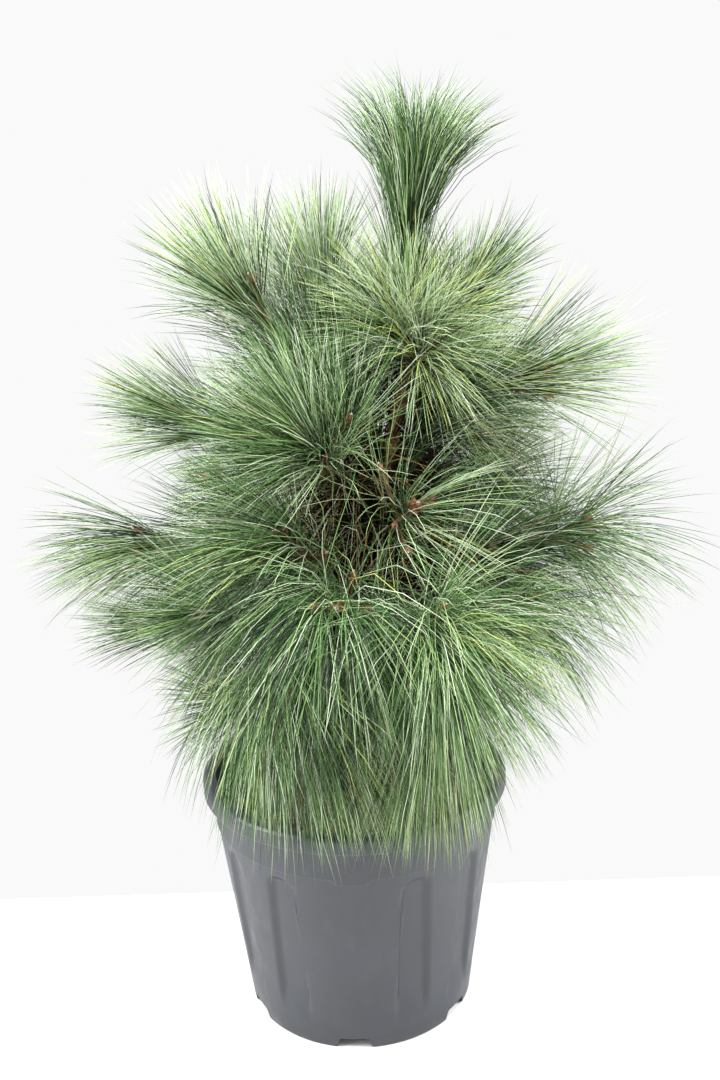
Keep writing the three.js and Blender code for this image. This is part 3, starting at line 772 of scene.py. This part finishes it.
def plan_masses(boughs):
    """Every mass: its name, its twigs and the way its needles stand"""
    masses = []

    def plan(name, root, heading, length, droop, needle, wide, **traits):
        seed = SEED + 97 * len(masses)
        mood, fork, tilt, density = CHARACTERS.get(name, PLAIN)
        masses.append({
            "name": "needles_" + name,
            "twigs": grow_twigs(root, heading, length, fork, random_from(seed + 1)),
            "droop": droop,
            "needle": needle,
            "wide": wide,
            "tilt": tilt,
            "density": density,
            "mood": YOUNG_MOOD + mood,
            "fan": (0, 0),
            "spring": 0,
        } | traits)

    for name, bough in boughs.items():
        root = bough["points"][3] + CLEARANCE * bough["heading"]
        plan(name, root, bough["heading"], SHOOT_LENGTH - CLEARANCE, *bough["needles"])
    for name, (height, azimuth, climb, length, *needles) in TRUNK_SHOOTS.items():
        plan(name, trunk_at(height), direction(azimuth, climb), length, *needles)
    top = trunk_at(TRUNK_TOP) - CLEARANCE * DOWN
    leader = np.array(LEADER_BUD) - top
    length = np.linalg.norm(leader)
    needles = (LEADER_DROOP, LEADER_NEEDLE_LENGTH, LEADER_SPLAY)
    traits = {"fan": LEADER_FAN, "spring": LEADER_SPRING}
    plan("leader", top, leader / length, length, *needles, **traits)
    return masses


def make_twig(twig, seed):
    rings, sides = TWIG_MESHES[twig["rank"]]
    t = np.linspace(0, 1, rings)
    centres = lerp(twig["from"], twig["to"], t[:, None])
    radii = lerp(twig["radii"][0], twig["radii"][1], t)
    return tube(centres, radii, sides, bark_relief(*TWIG_RELIEF, seed))


# Needles

def frames_round(along):
    """Two directions square to each of some headings"""
    helper = np.where(np.abs(along[..., 2:]) > 0.9, [1.0, 0.0, 0.0], DOWN)
    aside = unit(np.cross(along, helper))
    return aside, np.cross(aside, along)


def fascicles_on(start, end, radius, count, splay, rng, crowding=0.62):
    """Where fascicles stand on a twig, where they point and which way is out from the twig, in a
    golden spiral round it"""
    phase = 6 * rng.random()
    along = unit(end - start)
    aside, over = frames_round(along)
    t = lerp(0.1, 0.96, ((np.arange(count) + rng.random(count)) / count) ** crowding)
    turn = np.radians(GOLDEN_ANGLE) * np.arange(count) + phase + 0.3 * rng.random(count)
    out = np.cos(turn)[:, None] * aside + np.sin(turn)[:, None] * over
    lean = np.radians(lerp(splay[1], splay[0], t) * (1 + 0.22 * rng.standard_normal(count)))
    headings = np.cos(lean)[:, None] * along + np.sin(lean)[:, None] * out
    roots = start + (end - start) * t[:, None] + 0.8 * radius * out
    return roots, headings, out


def dealt_tones(count, mood, rng):
    """A tone for each fascicle of a twig: mostly near the twig's own mood, from dark to light"""
    shares = np.cumsum([share for _, share in TONES.values()])
    pick = np.abs(mood + TONE_SPREAD * rng.standard_normal(count))
    pick = np.clip(1 - np.abs(1 - pick), 0, 0.9999)
    return np.searchsorted(shares, pick)


class Needles:
    """Needles of one kind, gathered batch by batch"""

    def __init__(self, rng):
        self.rng = rng
        self.batches = []

    def add(self, fascicles, length, droop, tones=None, fan=(0, 0), tilt=(0, 0, 0), spring=0,
            wavy=0.05, parted=FASCICLE_SPREAD):
        roots, headings, out = fascicles
        count = len(roots)
        tones = np.zeros(count, int) if tones is None else tones
        rng = self.rng
        own_length = length * self.spread(LENGTH_SPREADS[0], count).clip(0.75, 1.12)
        level = np.hypot(headings[:, 0], headings[:, 1])
        sag = DROOP * droop * lerp(0.35, 1, level) * self.spread(DROOP_SPREADS[0], count)
        flare = lerp(*fan, rng.random(count) ** 0.35)
        own_length *= 1 + 0.13 * flare
        each = np.repeat(np.arange(count), IN_FASCICLE)
        total = len(each)
        aside, over = frames_round(headings[each])
        part = np.tile(np.arange(IN_FASCICLE), count) / IN_FASCICLE
        around = 2 * math.pi * part + rng.random(total)
        parting = np.cos(around)[:, None] * aside + np.sin(around)[:, None] * over
        width = parted * (0.5 + rng.random(total))[:, None]
        self.batches.append({
            "roots": roots[each],
            "headings": unit(headings[each] + width * parting),
            "flare": flare[each][:, None] * out[each],
            "tilt": np.tile(tilt, (total, 1)),
            "bend": NEEDLE_BEND * width * parting,
            "spring": spring * out[each],
            "wander": NEEDLE_WANDER * rng.standard_normal((total, 3)),
            "wave": NEEDLE_WAVE * rng.standard_normal((total, 3)) * (rng.random((total, 1)) < wavy),
            "beat": rng.uniform(5, 12, total),
            "sag": (sag[each] * self.spread(DROOP_SPREADS[1], total)).clip(0.02),
            "length": own_length[each] * self.spread(LENGTH_SPREADS[1], total),
            "tone": self.own_tones(tones[each]),
        })

    def spread(self, share, count):
        """Factors that vary round 1"""
        return 1 + share * self.rng.standard_normal(count)

    def own_tones(self, tones):
        """A few needles of each fascicle show their frosted inner faces, and a few others get the
        darkest tone, night, as painted shade inside the fascicle
        """
        draw = self.rng.random(len(tones))
        names = list(TONES)
        tones = np.where(draw < FROSTED_SHARE, names.index("bloom"), tones)
        # Painted shade: this share of the needles takes the night tone
        return np.where(draw > 1 - PAINTED_SHADE_SHARE, names.index("night"), tones)

    def gathered(self):
        return {key: np.concatenate([b[key] for b in self.batches]) for key in self.batches[0]}


def needle_lines(needles):
    """Each needle's curve: it leaves its sheath straight, bends away from its neighbours, and
    then bends under its own weight"""
    step = np.array(NEEDLE_STEPS)
    middle = (np.cumsum(step) - step / 2)[None, :, None]
    way = needles["headings"][:, None] + 0 * middle
    way = way + (2 * needles["sag"])[:, None, None] * middle * DOWN
    way = way + needles["bend"][:, None] * 1.9 * middle**3
    way = way + needles["flare"][:, None] * smoothstep(*FLARE_RUN, middle)
    way = way + needles["tilt"][:, None] * smoothstep(*TILT_RUN, middle)
    way = way + needles["wander"][:, None] * middle
    way = way + needles["wave"][:, None] * np.sin(needles["beat"][:, None, None] * middle + 1)
    way = way + needles["spring"][:, None] * np.exp(-middle / 0.12)
    steps = unit(way) * step[None, :, None] * needles["length"][:, None, None]
    lines = np.concatenate([np.zeros_like(steps[:, :1]), np.cumsum(steps, axis=1)], axis=1)
    return needles["roots"][:, None] + lines


def open_front(lines, rng, hollow_share=HOLLOW_SHARE):
    """Which needles are left where the crown is open in front of its middle"""
    x, y, z = lines[..., 0], lines[..., 1], lines[..., 2]
    behind = z + OPENING_SLOPE * y
    narrower = 1 + y / OPENING_REACH
    level = (behind > WINDOW[0]) & (behind < WINDOW[1])
    crosses = level & (y < 0) & (np.abs(x - trunk_at(behind)[..., 0] * narrower) < WINDOW_HALF)
    across = (x - HOLLOW_MIDDLE[0] * narrower) / (HOLLOW_RADII[0] * narrower)
    up = (behind - HOLLOW_MIDDLE[1]) / HOLLOW_RADII[1]
    reaches_in = (y < 0) & (np.hypot(across, up) < 1)
    chance = rng.random(len(lines))
    seen = ~crosses.any(axis=1) | (chance < WINDOW_SHARE)
    return seen & (~reaches_in.any(axis=1) | (chance < hollow_share))


def off_the_pot(lines):
    """Needles lie on the soil and the rim, and hang outside the wall"""
    reach = np.hypot(lines[..., 0], lines[..., 1])
    over_soil = reach < LIP_INNER_RADIUS - 1
    over_rim = (reach >= LIP_INNER_RADIUS - 1) & (reach < LIP_RADIUS + 2)
    floor = np.where(over_soil, GROUND + 1.5, np.where(over_rim, POT_HEIGHT + 1.2, -1e3))
    lines[..., 2] = np.maximum(lines[..., 2], floor)
    return lines


def needle_bodies(lines, rng, girth=1):
    """Slender three-sided needles that end in a point"""
    count = len(lines)
    along = unit(np.gradient(lines, axis=1))
    turn = 2 * math.pi * rng.random(count)
    aside, over = frames_round(along[:, 0])
    lead = np.cos(turn)[:, None] * aside + np.sin(turn)[:, None] * over
    lead = lead[:, None] - along * np.sum(lead[:, None] * along, -1, keepdims=True)
    lead = unit(lead)
    side = np.cross(along, lead)
    rows = len(NEEDLE_STEPS)
    girths = girth * NEEDLE_RADIUS * np.array(NEEDLE_GIRTHS)
    radius = girths * (0.85 + 0.3 * rng.random(count))[:, None]
    corners = 2 * math.pi * np.arange(3) / 3
    cos, sin = np.cos(corners)[:, None], np.sin(corners)[:, None]
    ring = cos * lead[:, :-1, None] + sin * side[:, :-1, None]
    rings = lines[:, :-1, None] + radius[..., None, None] * ring
    points = np.concatenate([rings.reshape(count, -1, 3), lines[:, -1:]], axis=1)
    tip = 3 * rows
    last = tip - 3
    faces = [grid_faces(rows, 3), [[0, 2, 1]]]
    faces.append([[last + k, last + (k + 1) % 3, tip] for k in range(3)])
    faces = np.concatenate(faces)
    all_faces = faces[None] + (np.arange(count) * (tip + 1))[:, None, None]
    return points.reshape(-1, 3), all_faces.reshape(-1, 3)


def add_young_needles(needles, masses, rng):
    """The needles of the last shoots and their twigs"""
    for mass in masses:
        # Painted light: needles higher in the crown get lighter tones
        climb = PAINTED_HEIGHT_LIGHT * smoothstep(*MOOD_HEIGHTS, mass["twigs"][0]["to"][2])
        mood = mass["mood"] + climb + rng.uniform(-MASS_MOOD_SPREAD, MASS_MOOD_SPREAD)
        splay = (max(BUD_SPLAY, mass["wide"] - BUD_CLEAR), mass["wide"])
        for twig in mass["twigs"]:
            start, end = twig["from"], twig["to"]
            density = TWIG_DENSITY[twig["rank"]] * mass["density"]
            count = round(density * np.linalg.norm(end - start))
            fascicles = fascicles_on(start, end, twig["radii"][0], count, splay, rng)
            stray = rng.uniform(-TWIG_MOOD_SPREAD, TWIG_MOOD_SPREAD)
            tones = dealt_tones(count, mood + stray, rng)
            length = mass["needle"] * YOUNG_LENGTHS[twig["rank"]]
            traits = (mass[key] for key in ("fan", "tilt", "spring"))
            needles.add(fascicles, length, mass["droop"], tones, *traits)


def add_old_needles(needles, boughs, rng):
    """The needles of the year before, further in, in darker tones: partly their age and partly
    painted shade inside the crown. The boughs at the front are bare near the trunk."""
    for bough in boughs.values():
        droop, length, _ = bough["needles"]
        bare = FRONT_BARE if bough["heading"][1] < -0.3 else SIDE_BARE
        stops = np.linspace(bare, 1, 5)
        for start, end in itertools.pairwise(bezier(bough["points"], stops)):
            count = round(OLD_DENSITY * np.linalg.norm(end - start))
            fascicles = fascicles_on(start, end, OLD_WOOD_RADIUS, count, OLD_SPLAY, rng, 1)
            tones = dealt_tones(count, OLD_MOOD, rng)
            needles.add(fascicles, length * rng.uniform(0.95, 1.15), OLD_DROOP * droop, tones)


def add_rings(needles, rings, rng, **traits):
    """Needles on the trunk itself"""
    for heights, count, splay, droop, length, fan, spring, mood in rings:
        fascicles = fascicles_on(*trunk_at(heights), OLD_WOOD_RADIUS, count, splay, rng, 1)
        tones = dealt_tones(count, mood, rng)
        needles.add(fascicles, length, droop, tones, fan, spring=spring, **traits)


def fascicles_along(bough, run, count, splay, rng, crowding=0.62):
    """Fascicles on part of a bough, between two shares of its run"""
    start, end = bezier(bough["points"], run)
    return fascicles_on(start, end, OLD_WOOD_RADIUS, count, splay, rng, crowding)


def grow_needles(boughs, masses):
    """The green needles, the pale wavy strays that hang across the middle of the plant, the dead
    ones that hang from the boughs or are still among the green, and the tangle at the trunk"""
    rng = np.random.default_rng(SEED)
    needles, strays, dead, tangle = (Needles(rng) for _ in range(4))
    add_young_needles(needles, masses, rng)
    add_old_needles(needles, boughs, rng)
    add_rings(needles, UMBRELLA, rng)
    for bough in boughs.values():
        count = STRAY_FASCICLES[0 if bough["heading"][1] < 0.3 else 1]
        fascicles = fascicles_along(bough, STRAY_RUN, count, STRAY_SPLAY, rng, 1)
        strays.add(fascicles, bough["needles"][1] * 0.95, STRAY_DROOP, wavy=0.9, parted=0.3)
    for bough in boughs.values():
        count = DEAD_FASCICLES[0 if bough["heading"][1] < -0.3 else 1]
        fascicles = fascicles_along(bough, DEAD_RUN, count, DEAD_SPLAY, rng)
        dead.add(fascicles, bough["needles"][1], DEAD_DROOP, wavy=0.5, parted=0.2)
    for name, count in DRY.items():
        droop, length, _ = boughs[name]["needles"]
        fascicles = fascicles_along(boughs[name], DRY_RUN, count, DRY_SPLAY, rng)
        dead.add(fascicles, DRY_STRETCH * length, droop, parted=0.25)
    add_rings(tangle, TANGLE, rng, wavy=0.8, parted=0.45)
    return [kind.gathered() for kind in (needles, strays, dead, tangle)], rng


def fallen_lines(rng):
    """Brown needles that lie on the soil"""
    reach = FALLEN_REACH * np.sqrt(rng.random(FALLEN_FASCICLES))
    azimuth = 2 * math.pi * rng.random(FALLEN_FASCICLES)
    flat = np.zeros(FALLEN_FASCICLES)
    roots = np.stack([reach * np.cos(azimuth), reach * np.sin(azimuth), flat], -1)
    turn = 2 * math.pi * rng.random(FALLEN_FASCICLES)
    headings = np.stack([np.cos(turn), np.sin(turn), flat], -1)
    fallen = Needles(rng)
    fallen.add((roots, headings, headings), FALLEN_LENGTH, FALLEN_DROOP, parted=0.25)
    lines = needle_lines(fallen.gathered())
    on_soil = np.hypot(lines[..., 0], lines[..., 1]) < LIP_INNER_RADIUS - 4
    lines = lines[on_soil.all(axis=1)]
    lines[..., 2] = GROUND + 2.2 + rng.random(lines.shape[:2])
    return lines


def make_needles(boughs, masses):
    nodes = [mass["name"] for mass in masses]
    (needles, strays, dead, tangle), rng = grow_needles(boughs, masses)

    def add(kind, lines, code, shine=0.22, girth=1):
        look = needle_look("needle_" + kind, code, shine)
        add_piece("needles_" + kind, needle_bodies(lines, rng, girth), look, nodes)

    lines = off_the_pot(needle_lines(needles))
    kept = open_front(lines, rng)
    lines, tones = lines[kept], needles["tone"][kept]
    for number, (tone, (code, _)) in enumerate(TONES.items()):
        add(tone, lines[tones == number], code)
    lines = off_the_pot(needle_lines(strays))
    add("stray", lines[open_front(lines, rng, 1)], STRAY_TONE)
    lines = off_the_pot(needle_lines(tangle))
    # The tangle's near-black colour is partly painted shade of the crown's hollow
    add("tangle", lines[open_front(lines, rng, 1)], TANGLE_DEAD_AND_SHADE_TONE, 0.05, TANGLE_GIRTH)
    lines = fallen_lines(rng)
    add("dead", np.concatenate([off_the_pot(needle_lines(dead)), lines]), DEAD_TONE)


# Buds

def spoke(angle, radius, z):
    return [radius * math.cos(angle), radius * math.sin(angle), z]


def bud_template(sides, rings, rows):
    """A pointed bud one unit long, along +Z, covered with overlapping scales"""
    t = np.linspace(0, 1, rings)
    width = 0.24 * np.sin(math.pi * np.clip(0.12 + 0.88 * t, 0, 1)) ** 0.7
    centres = np.stack([0 * t, 0 * t, t], -1)
    bodies = [tube(centres, np.maximum(width, 0.004), sides)]
    faces = np.array([[0, 2, 1], [0, 3, 2], [1, 2, 3], [0, 1, 3]])
    half = math.pi / sides * 1.15
    for row in range(rows):
        at = lerp(0.06, 0.8, row / (rows - 1))
        near = np.interp(at, t, width)
        far = np.interp(min(at + 0.26, 1), t, width)
        for k in range(sides):
            turn = 2 * math.pi * (k + 0.5 * (row % 2)) / sides
            corners = (
                (turn - half, near * 0.9, at),
                (turn + half, near * 0.9, at),
                (turn, near * 1.22, at + 0.08),
                (turn, far * 1.12 + 0.02, at + 0.26),
            )
            bodies.append((np.array([spoke(*corner) for corner in corners]), faces))
    return joined(bodies)


def placed(template, place, heading, length, girth=1.0):
    """A template turned from +Z to a heading and scaled"""
    points, faces = template
    heading = unit(np.asarray(heading, float))
    aside, over = frames_round(heading)
    x, y, z = points[:, :1], points[:, 1:2], points[:, 2:]
    turned = x * girth * aside + y * girth * over + z * heading
    return place + length * turned, faces


def make_buds(masses):
    """A bud at the end of each twig, with smaller ones round it, and resin on the larger"""
    rng = np.random.default_rng(SEED + 5)
    large, small = bud_template(8, 8, 4), bud_template(5, 5, 2)
    middles = np.array([[0, 0, z] for z in (0, 0.2, 0.6, 0.9, 1.0)])
    drop = tube(middles, [0.2, 0.5, 0.55, 0.3, 0.05], 8)
    bodies, resin = [], []
    for twig in (twig for mass in masses for twig in mass["twigs"]):
        rank = twig["rank"]
        heading = unit(twig["to"] - twig["from"])
        end = twig["to"] - 1.5 * heading
        aside, over = frames_round(heading)
        length = BUD_LENGTHS[rank] * rng.uniform(0.9, 1.1)
        bodies.append(placed(small if rank else large, end, heading, length))
        if rank < 2:
            resin.append(placed(drop, end + 0.72 * length * heading, heading, 0.33 * length, 0.6))
        for k in range(SIDE_BUDS[rank]):
            turn = 2 * math.pi * (k + rng.random() * 0.4) / 4
            out = math.cos(turn) * aside + math.sin(turn) * over
            size = length * rng.uniform(0.48, 0.66)
            bodies.append(placed(small, end + 1.6 * out, heading + 0.62 * out, size, 1.05))
    add_piece("buds", joined(bodies), bud_look(), smooth_below=50)
    add_piece("bud_resin", joined(resin), resin_look(), smooth_below=80)


# Pot

def flute_depth(azimuth, z):
    """How far the wall is set in at an azimuth and a height"""
    offset = (azimuth - PANEL_AZIMUTH) % 360
    folded = np.minimum(offset, 360 - offset)
    rise = np.clip((z - FLUTE_FOOT[0]) / (FLUTE_HEAD[1] - FLUTE_FOOT[0]), 0, 1)
    depth = np.zeros(np.broadcast(azimuth, z).shape)
    for k in range(1, FLUTE_COUNT + 1):
        centre = FLUTE_PITCH * k - FLUTE_LEANS[k] * rise
        half = lerp(*FLUTE_HALF_WIDTHS, rise)
        aside = (folded - centre) * (1 if k <= 3 else -1)
        near_panel = 1 - smoothstep(-half - FLUTE_FLANKS[0], -half, aside)
        away = smoothstep(half - FLUTE_FLANKS[1], half, aside)
        across = (1 - near_panel) * (1 - away)
        arch = FLUTE_HEAD[1] - 7 * np.clip(np.abs(aside) / half, 0, 1) ** 2.5
        head = 1 - smoothstep(arch - 9, arch, z)
        depth = np.maximum(depth, across * head)
    foot = smoothstep(*FLUTE_FOOT, z)
    return FLUTE_DEPTH * depth * foot


def wall_radius(azimuth, z):
    """The outer wall, from its foot to the underside of the lip"""
    body = lerp(POT_BASE_RADIUS, BODY_TOP_RADIUS, z / COLLAR_Z) - flute_depth(azimuth, z)
    offset = (azimuth - PANEL_AZIMUTH - TAB_OFFSET + 180) % 360 - 180
    tab = 1 - smoothstep(*TAB_SIDES, np.abs(offset))
    collar_foot = COLLAR_Z + COLLAR_EDGE - TAB_DIP * tab
    collar = lerp(COLLAR_RADIUS, COLLAR_RADIUS + 1.5, (z - COLLAR_Z) / (LIP_Z - COLLAR_Z))
    step = smoothstep(collar_foot - 0.9, collar_foot + 0.5, z)
    return lerp(body, collar, step)


def arc(centre_r, centre_z, radius, start, end, count):
    """Points of radius and height on part of a circle"""
    angles = np.radians(np.linspace(start, end, count))
    return np.stack([centre_r + radius * np.cos(angles), centre_z + radius * np.sin(angles)], -1)


def pot_body():
    azimuths = np.arange(0, 360, 1.0) + PANEL_AZIMUTH
    foot = POT_BASE_RADIUS - FOOT_ROUNDING
    underside = [
        (0.01, 0), (DISC_RADIUS, 0), (CHANNEL_RADII[0], CHANNEL_HEIGHT),
        (CHANNEL_RADII[1], CHANNEL_HEIGHT), (FOOT_RING_RADIUS, 0), (foot, 0), (foot + 1, 1),
    ]
    heights = np.concatenate([
        [3, 12], np.arange(22, 180, 6), np.arange(180, 196.5, 1.5),
        np.arange(196, 204, 0.8), [210, 218, 226, LIP_Z - 1.5],
    ])
    wall = [(wall_radius(azimuths, z), z) for z in heights]
    lip = np.concatenate([
        arc(COLLAR_RADIUS + 3.6, LIP_Z + 0.4, 2.0, 180, 100, 4),
        arc(LIP_RADIUS - 3.2, LIP_Z + 3.4, 3.2, -80, 0, 5),
        arc(LIP_RADIUS - 5.5, POT_HEIGHT - 5.5, 5.5, 10, 90, 7),
        arc(LIP_INNER_RADIUS + 2.5, POT_HEIGHT - 2.5, 2.5, 90, 180, 5),
    ])
    step = CHANNEL_HEIGHT + FLOOR_THICKNESS
    middle = lerp(INNER_FOOT_RADIUS, INNER_COLLAR_RADIUS, (120 - step) / (COLLAR_Z - step))
    inside = [
        (LIP_INNER_RADIUS, MOUTH_Z), (INNER_COLLAR_RADIUS, COLLAR_Z), (middle, 120),
        (INNER_FOOT_RADIUS, step), (CHANNEL_RADII[0], step), (DISC_RADIUS, FLOOR_THICKNESS),
        (0.01, FLOOR_THICKNESS),
    ]
    profile = (*underside, *wall, *lip, *inside)
    return ringed(profile, np.radians(azimuths), (0, FLOOR_THICKNESS))


def notch_outline():
    """Half widths and heights of a foot notch, with round upper corners"""
    low, high = NOTCH_WIDTHS[0] / 2, NOTCH_WIDTHS[1] / 2
    round_off = 4
    corner = arc(high - round_off, NOTCH_HEIGHT - round_off, round_off, 15, 90, 6)
    right = np.concatenate([[[low + 3, -1], [low, 0.4], [low - 1.6, 1.6]], corner])
    left = right[::-1] * [-1, 1]
    return np.concatenate([right, left])


def notch_cutter(azimuth):
    outline = notch_outline()
    sides = len(outline)
    out, along = direction(azimuth, 0), direction(azimuth + 90, 0)
    ring = outline[:, :1] * along - outline[:, 1:] * DOWN
    inner, outer = CHANNEL_RADII[1] - 3, POT_BASE_RADIUS + 12
    faces = list(grid_faces(2, sides))
    for k in range(1, sides - 1):
        faces.append([0, k + 1, k])
        faces.append([sides, sides + k, sides + k + 1])
    return np.concatenate([inner * out + ring, outer * out + ring]), np.array(faces)


def cut(piece, cutters):
    """The piece with each cutter taken out of it, applied to its mesh"""
    tools = []
    for number, (points, faces) in enumerate(cutters):
        mesh = bpy.data.meshes.new(f"cutter_{number}")
        mesh.from_pydata((MM * points).tolist(), [], faces.tolist())
        tool = bpy.data.objects.new(f"cutter_{number}", mesh)
        bpy.context.scene.collection.objects.link(tool)
        modifier = piece.modifiers.new(f"cut_{number}", "BOOLEAN")
        modifier.operation = "DIFFERENCE"
        modifier.solver = "EXACT"
        modifier.object = tool
        tools.append(tool)
    bpy.context.view_layer.update()
    evaluated = piece.evaluated_get(bpy.context.evaluated_depsgraph_get())
    made = bpy.data.meshes.new_from_object(evaluated)
    piece.modifiers.clear()
    piece.data = made
    for tool in tools:
        bpy.data.objects.remove(tool)


def make_pot():
    piece = add_piece("pot_shell", pot_body(), plastic_look(), ["pot"])
    cutters = []
    for k in range(NOTCH_COUNT):
        azimuth = PANEL_AZIMUTH + 360 * k / NOTCH_COUNT
        cutters.append(notch_cutter(azimuth))
        foot = DRAIN_CIRCLE * direction(azimuth, 0) + np.array([0, 0, CHANNEL_HEIGHT - 3])
        centres = np.array([foot, foot - (FLOOR_THICKNESS + 6) * DOWN])
        cutters.append(tube(centres, [DRAIN_RADIUS] * 2, 20))
    cut(piece, cutters)
    piece.data.shade_smooth()
    piece.data.set_sharp_from_angle(angle=math.radians(34))


# Soil

def soil_height(x, y):
    reach = np.hypot(x, y)
    place = np.stack([x, y, 0 * x], -1)
    sunk = smoothstep(46, SOIL_RADIUS, reach) * SOIL_EDGE_DROP
    lumps = 1.5 * smooth_noise(place, 19, 3) + 1.0 * smooth_noise(place, 8, 4)
    lumps += 0.5 * smooth_noise(place, 3.5, 5)
    return GROUND - 0.8 - sunk + lumps


def make_soil():
    rings, sides = SOIL_MESH
    turn = 2 * math.pi * np.arange(sides) / sides
    reaches = SOIL_RADIUS * np.linspace(0.004, 1, rings) ** 0.9
    top = [(r, soil_height(r * np.cos(turn), r * np.sin(turn))) for r in reaches]
    inner = INNER_FOOT_RADIUS + 22
    skirt = [(SOIL_RADIUS - 0.5, GROUND - 14), (inner, SOIL_BOTTOM), (0.5, SOIL_BOTTOM)]
    points, faces = ringed(top + skirt, turn, (soil_height(0.0, 0.0), SOIL_BOTTOM))
    body = points, faces[:, ::-1]
    add_piece("soil_bed", body, soil_look(), ["soil"], smooth_below=60)


def make_chips():
    """Bits of bark strewn on the soil, each a small flat block with uneven corners"""
    rng = np.random.default_rng(SEED + 9)
    corners = np.array(list(itertools.product((-1, 1), repeat=3)), float)
    sides = [[0, 1, 3, 2], [4, 6, 7, 5], [0, 4, 5, 1], [2, 3, 7, 6], [0, 2, 6, 4], [1, 5, 7, 3]]
    block = np.array([t for a, b, c, d in sides for t in ([a, b, c], [a, c, d])])
    bodies = []
    for _ in range(CHIP_COUNT):
        reach = (SOIL_RADIUS - 9) * math.sqrt(rng.random())
        azimuth = 2 * math.pi * rng.random()
        x, y = reach * math.cos(azimuth), reach * math.sin(azimuth)
        size = rng.uniform(*CHIP_SIZES)
        shape = corners * (1 + 0.35 * rng.standard_normal((8, 3)).clip(-1, 1))
        shape *= size * np.array([1.0, rng.uniform(0.4, 0.8), rng.uniform(0.16, 0.34)])
        turn = Matrix.Rotation(rng.uniform(0, 6.28), 3, "Z")
        tilt = Matrix.Rotation(rng.normal(0, 0.4), 3, "X")
        shape = shape @ np.array(turn @ tilt).T
        z = soil_height(x, y) + 0.3 * size
        bodies.append((shape + [x, y, z], block))
    add_piece("bark_chips", joined(bodies), chip_look())


# Stage, lights and camera

def make_stage():
    middle = (0, FLOOR_EDGE - FLOOR_SIZE / 2, 0)
    bpy.ops.mesh.primitive_plane_add(size=FLOOR_SIZE, location=middle)
    floor = bpy.context.object
    floor.name = "floor"
    floor.data.materials.append(floor_look("floor_white", "#d6d6d5"))


def make_lights():
    world = bpy.data.worlds.new("studio")
    bpy.context.scene.world = world
    world.use_nodes = True
    background = world.node_tree.nodes["Background"]
    background.inputs["Color"].default_value = (1.0, 1.0, 1.0, 1.0)
    background.inputs["Strength"].default_value = AMBIENT
    for name, (place, target, size, power) in LAMPS.items():
        light = bpy.data.lights.new(name, "AREA")
        light.shape = "RECTANGLE"
        light.size, light.size_y = size
        light.energy = power
        lamp = bpy.data.objects.new(name, light)
        bpy.context.scene.collection.objects.link(lamp)
        lamp.location = place
        lamp.rotation_euler = (Vector(target) - Vector(place)).to_track_quat("-Z", "Y").to_euler()


def make_camera():
    camera = bpy.data.objects.new("camera", bpy.data.cameras.new("camera"))
    bpy.context.scene.collection.objects.link(camera)
    camera.data.lens = CAMERA_LENS
    camera.data.sensor_width = 36
    pitch = Matrix.Rotation(math.radians(90 - CAMERA_PITCH), 4, "X")
    roll = Matrix.Rotation(math.radians(-CAMERA_ROLL), 4, "Z")
    camera.matrix_world = Matrix.Translation(CAMERA_PLACE) @ pitch @ roll
    bpy.context.scene.camera = camera


make_camera()
make_stage()
make_lights()
bpy.context.scene.view_settings.view_transform = "Standard"

bark = bark_look("bark", "#5c4020", "#241809", "#97773f")
shoot_bark = bark_look("shoot_bark", "#5f4024", "#2e1b0e", "#8f6f45")
boughs = {name: bough_curve(row) for name, row in BOUGHS.items()}
masses = plan_masses(boughs)

make_pot()
make_soil()
make_chips()
add_piece("trunk_bark", make_trunk(), bark, ["trunk"], smooth_below=60)
limbs = [make_bough(bough, 40 + k) for k, bough in enumerate(boughs.values())]
bough_nodes = ["bough_" + name for name in boughs]
add_piece("bough_bark", joined(limbs), bark, bough_nodes, smooth_below=60)
all_twigs = [twig for mass in masses for twig in mass["twigs"]]
twig_bodies = [make_twig(twig, 200 + k) for k, twig in enumerate(all_twigs)]
add_piece("twigs", joined(twig_bodies), shoot_bark, smooth_below=60)
make_buds(masses)
make_needles(boughs, masses)
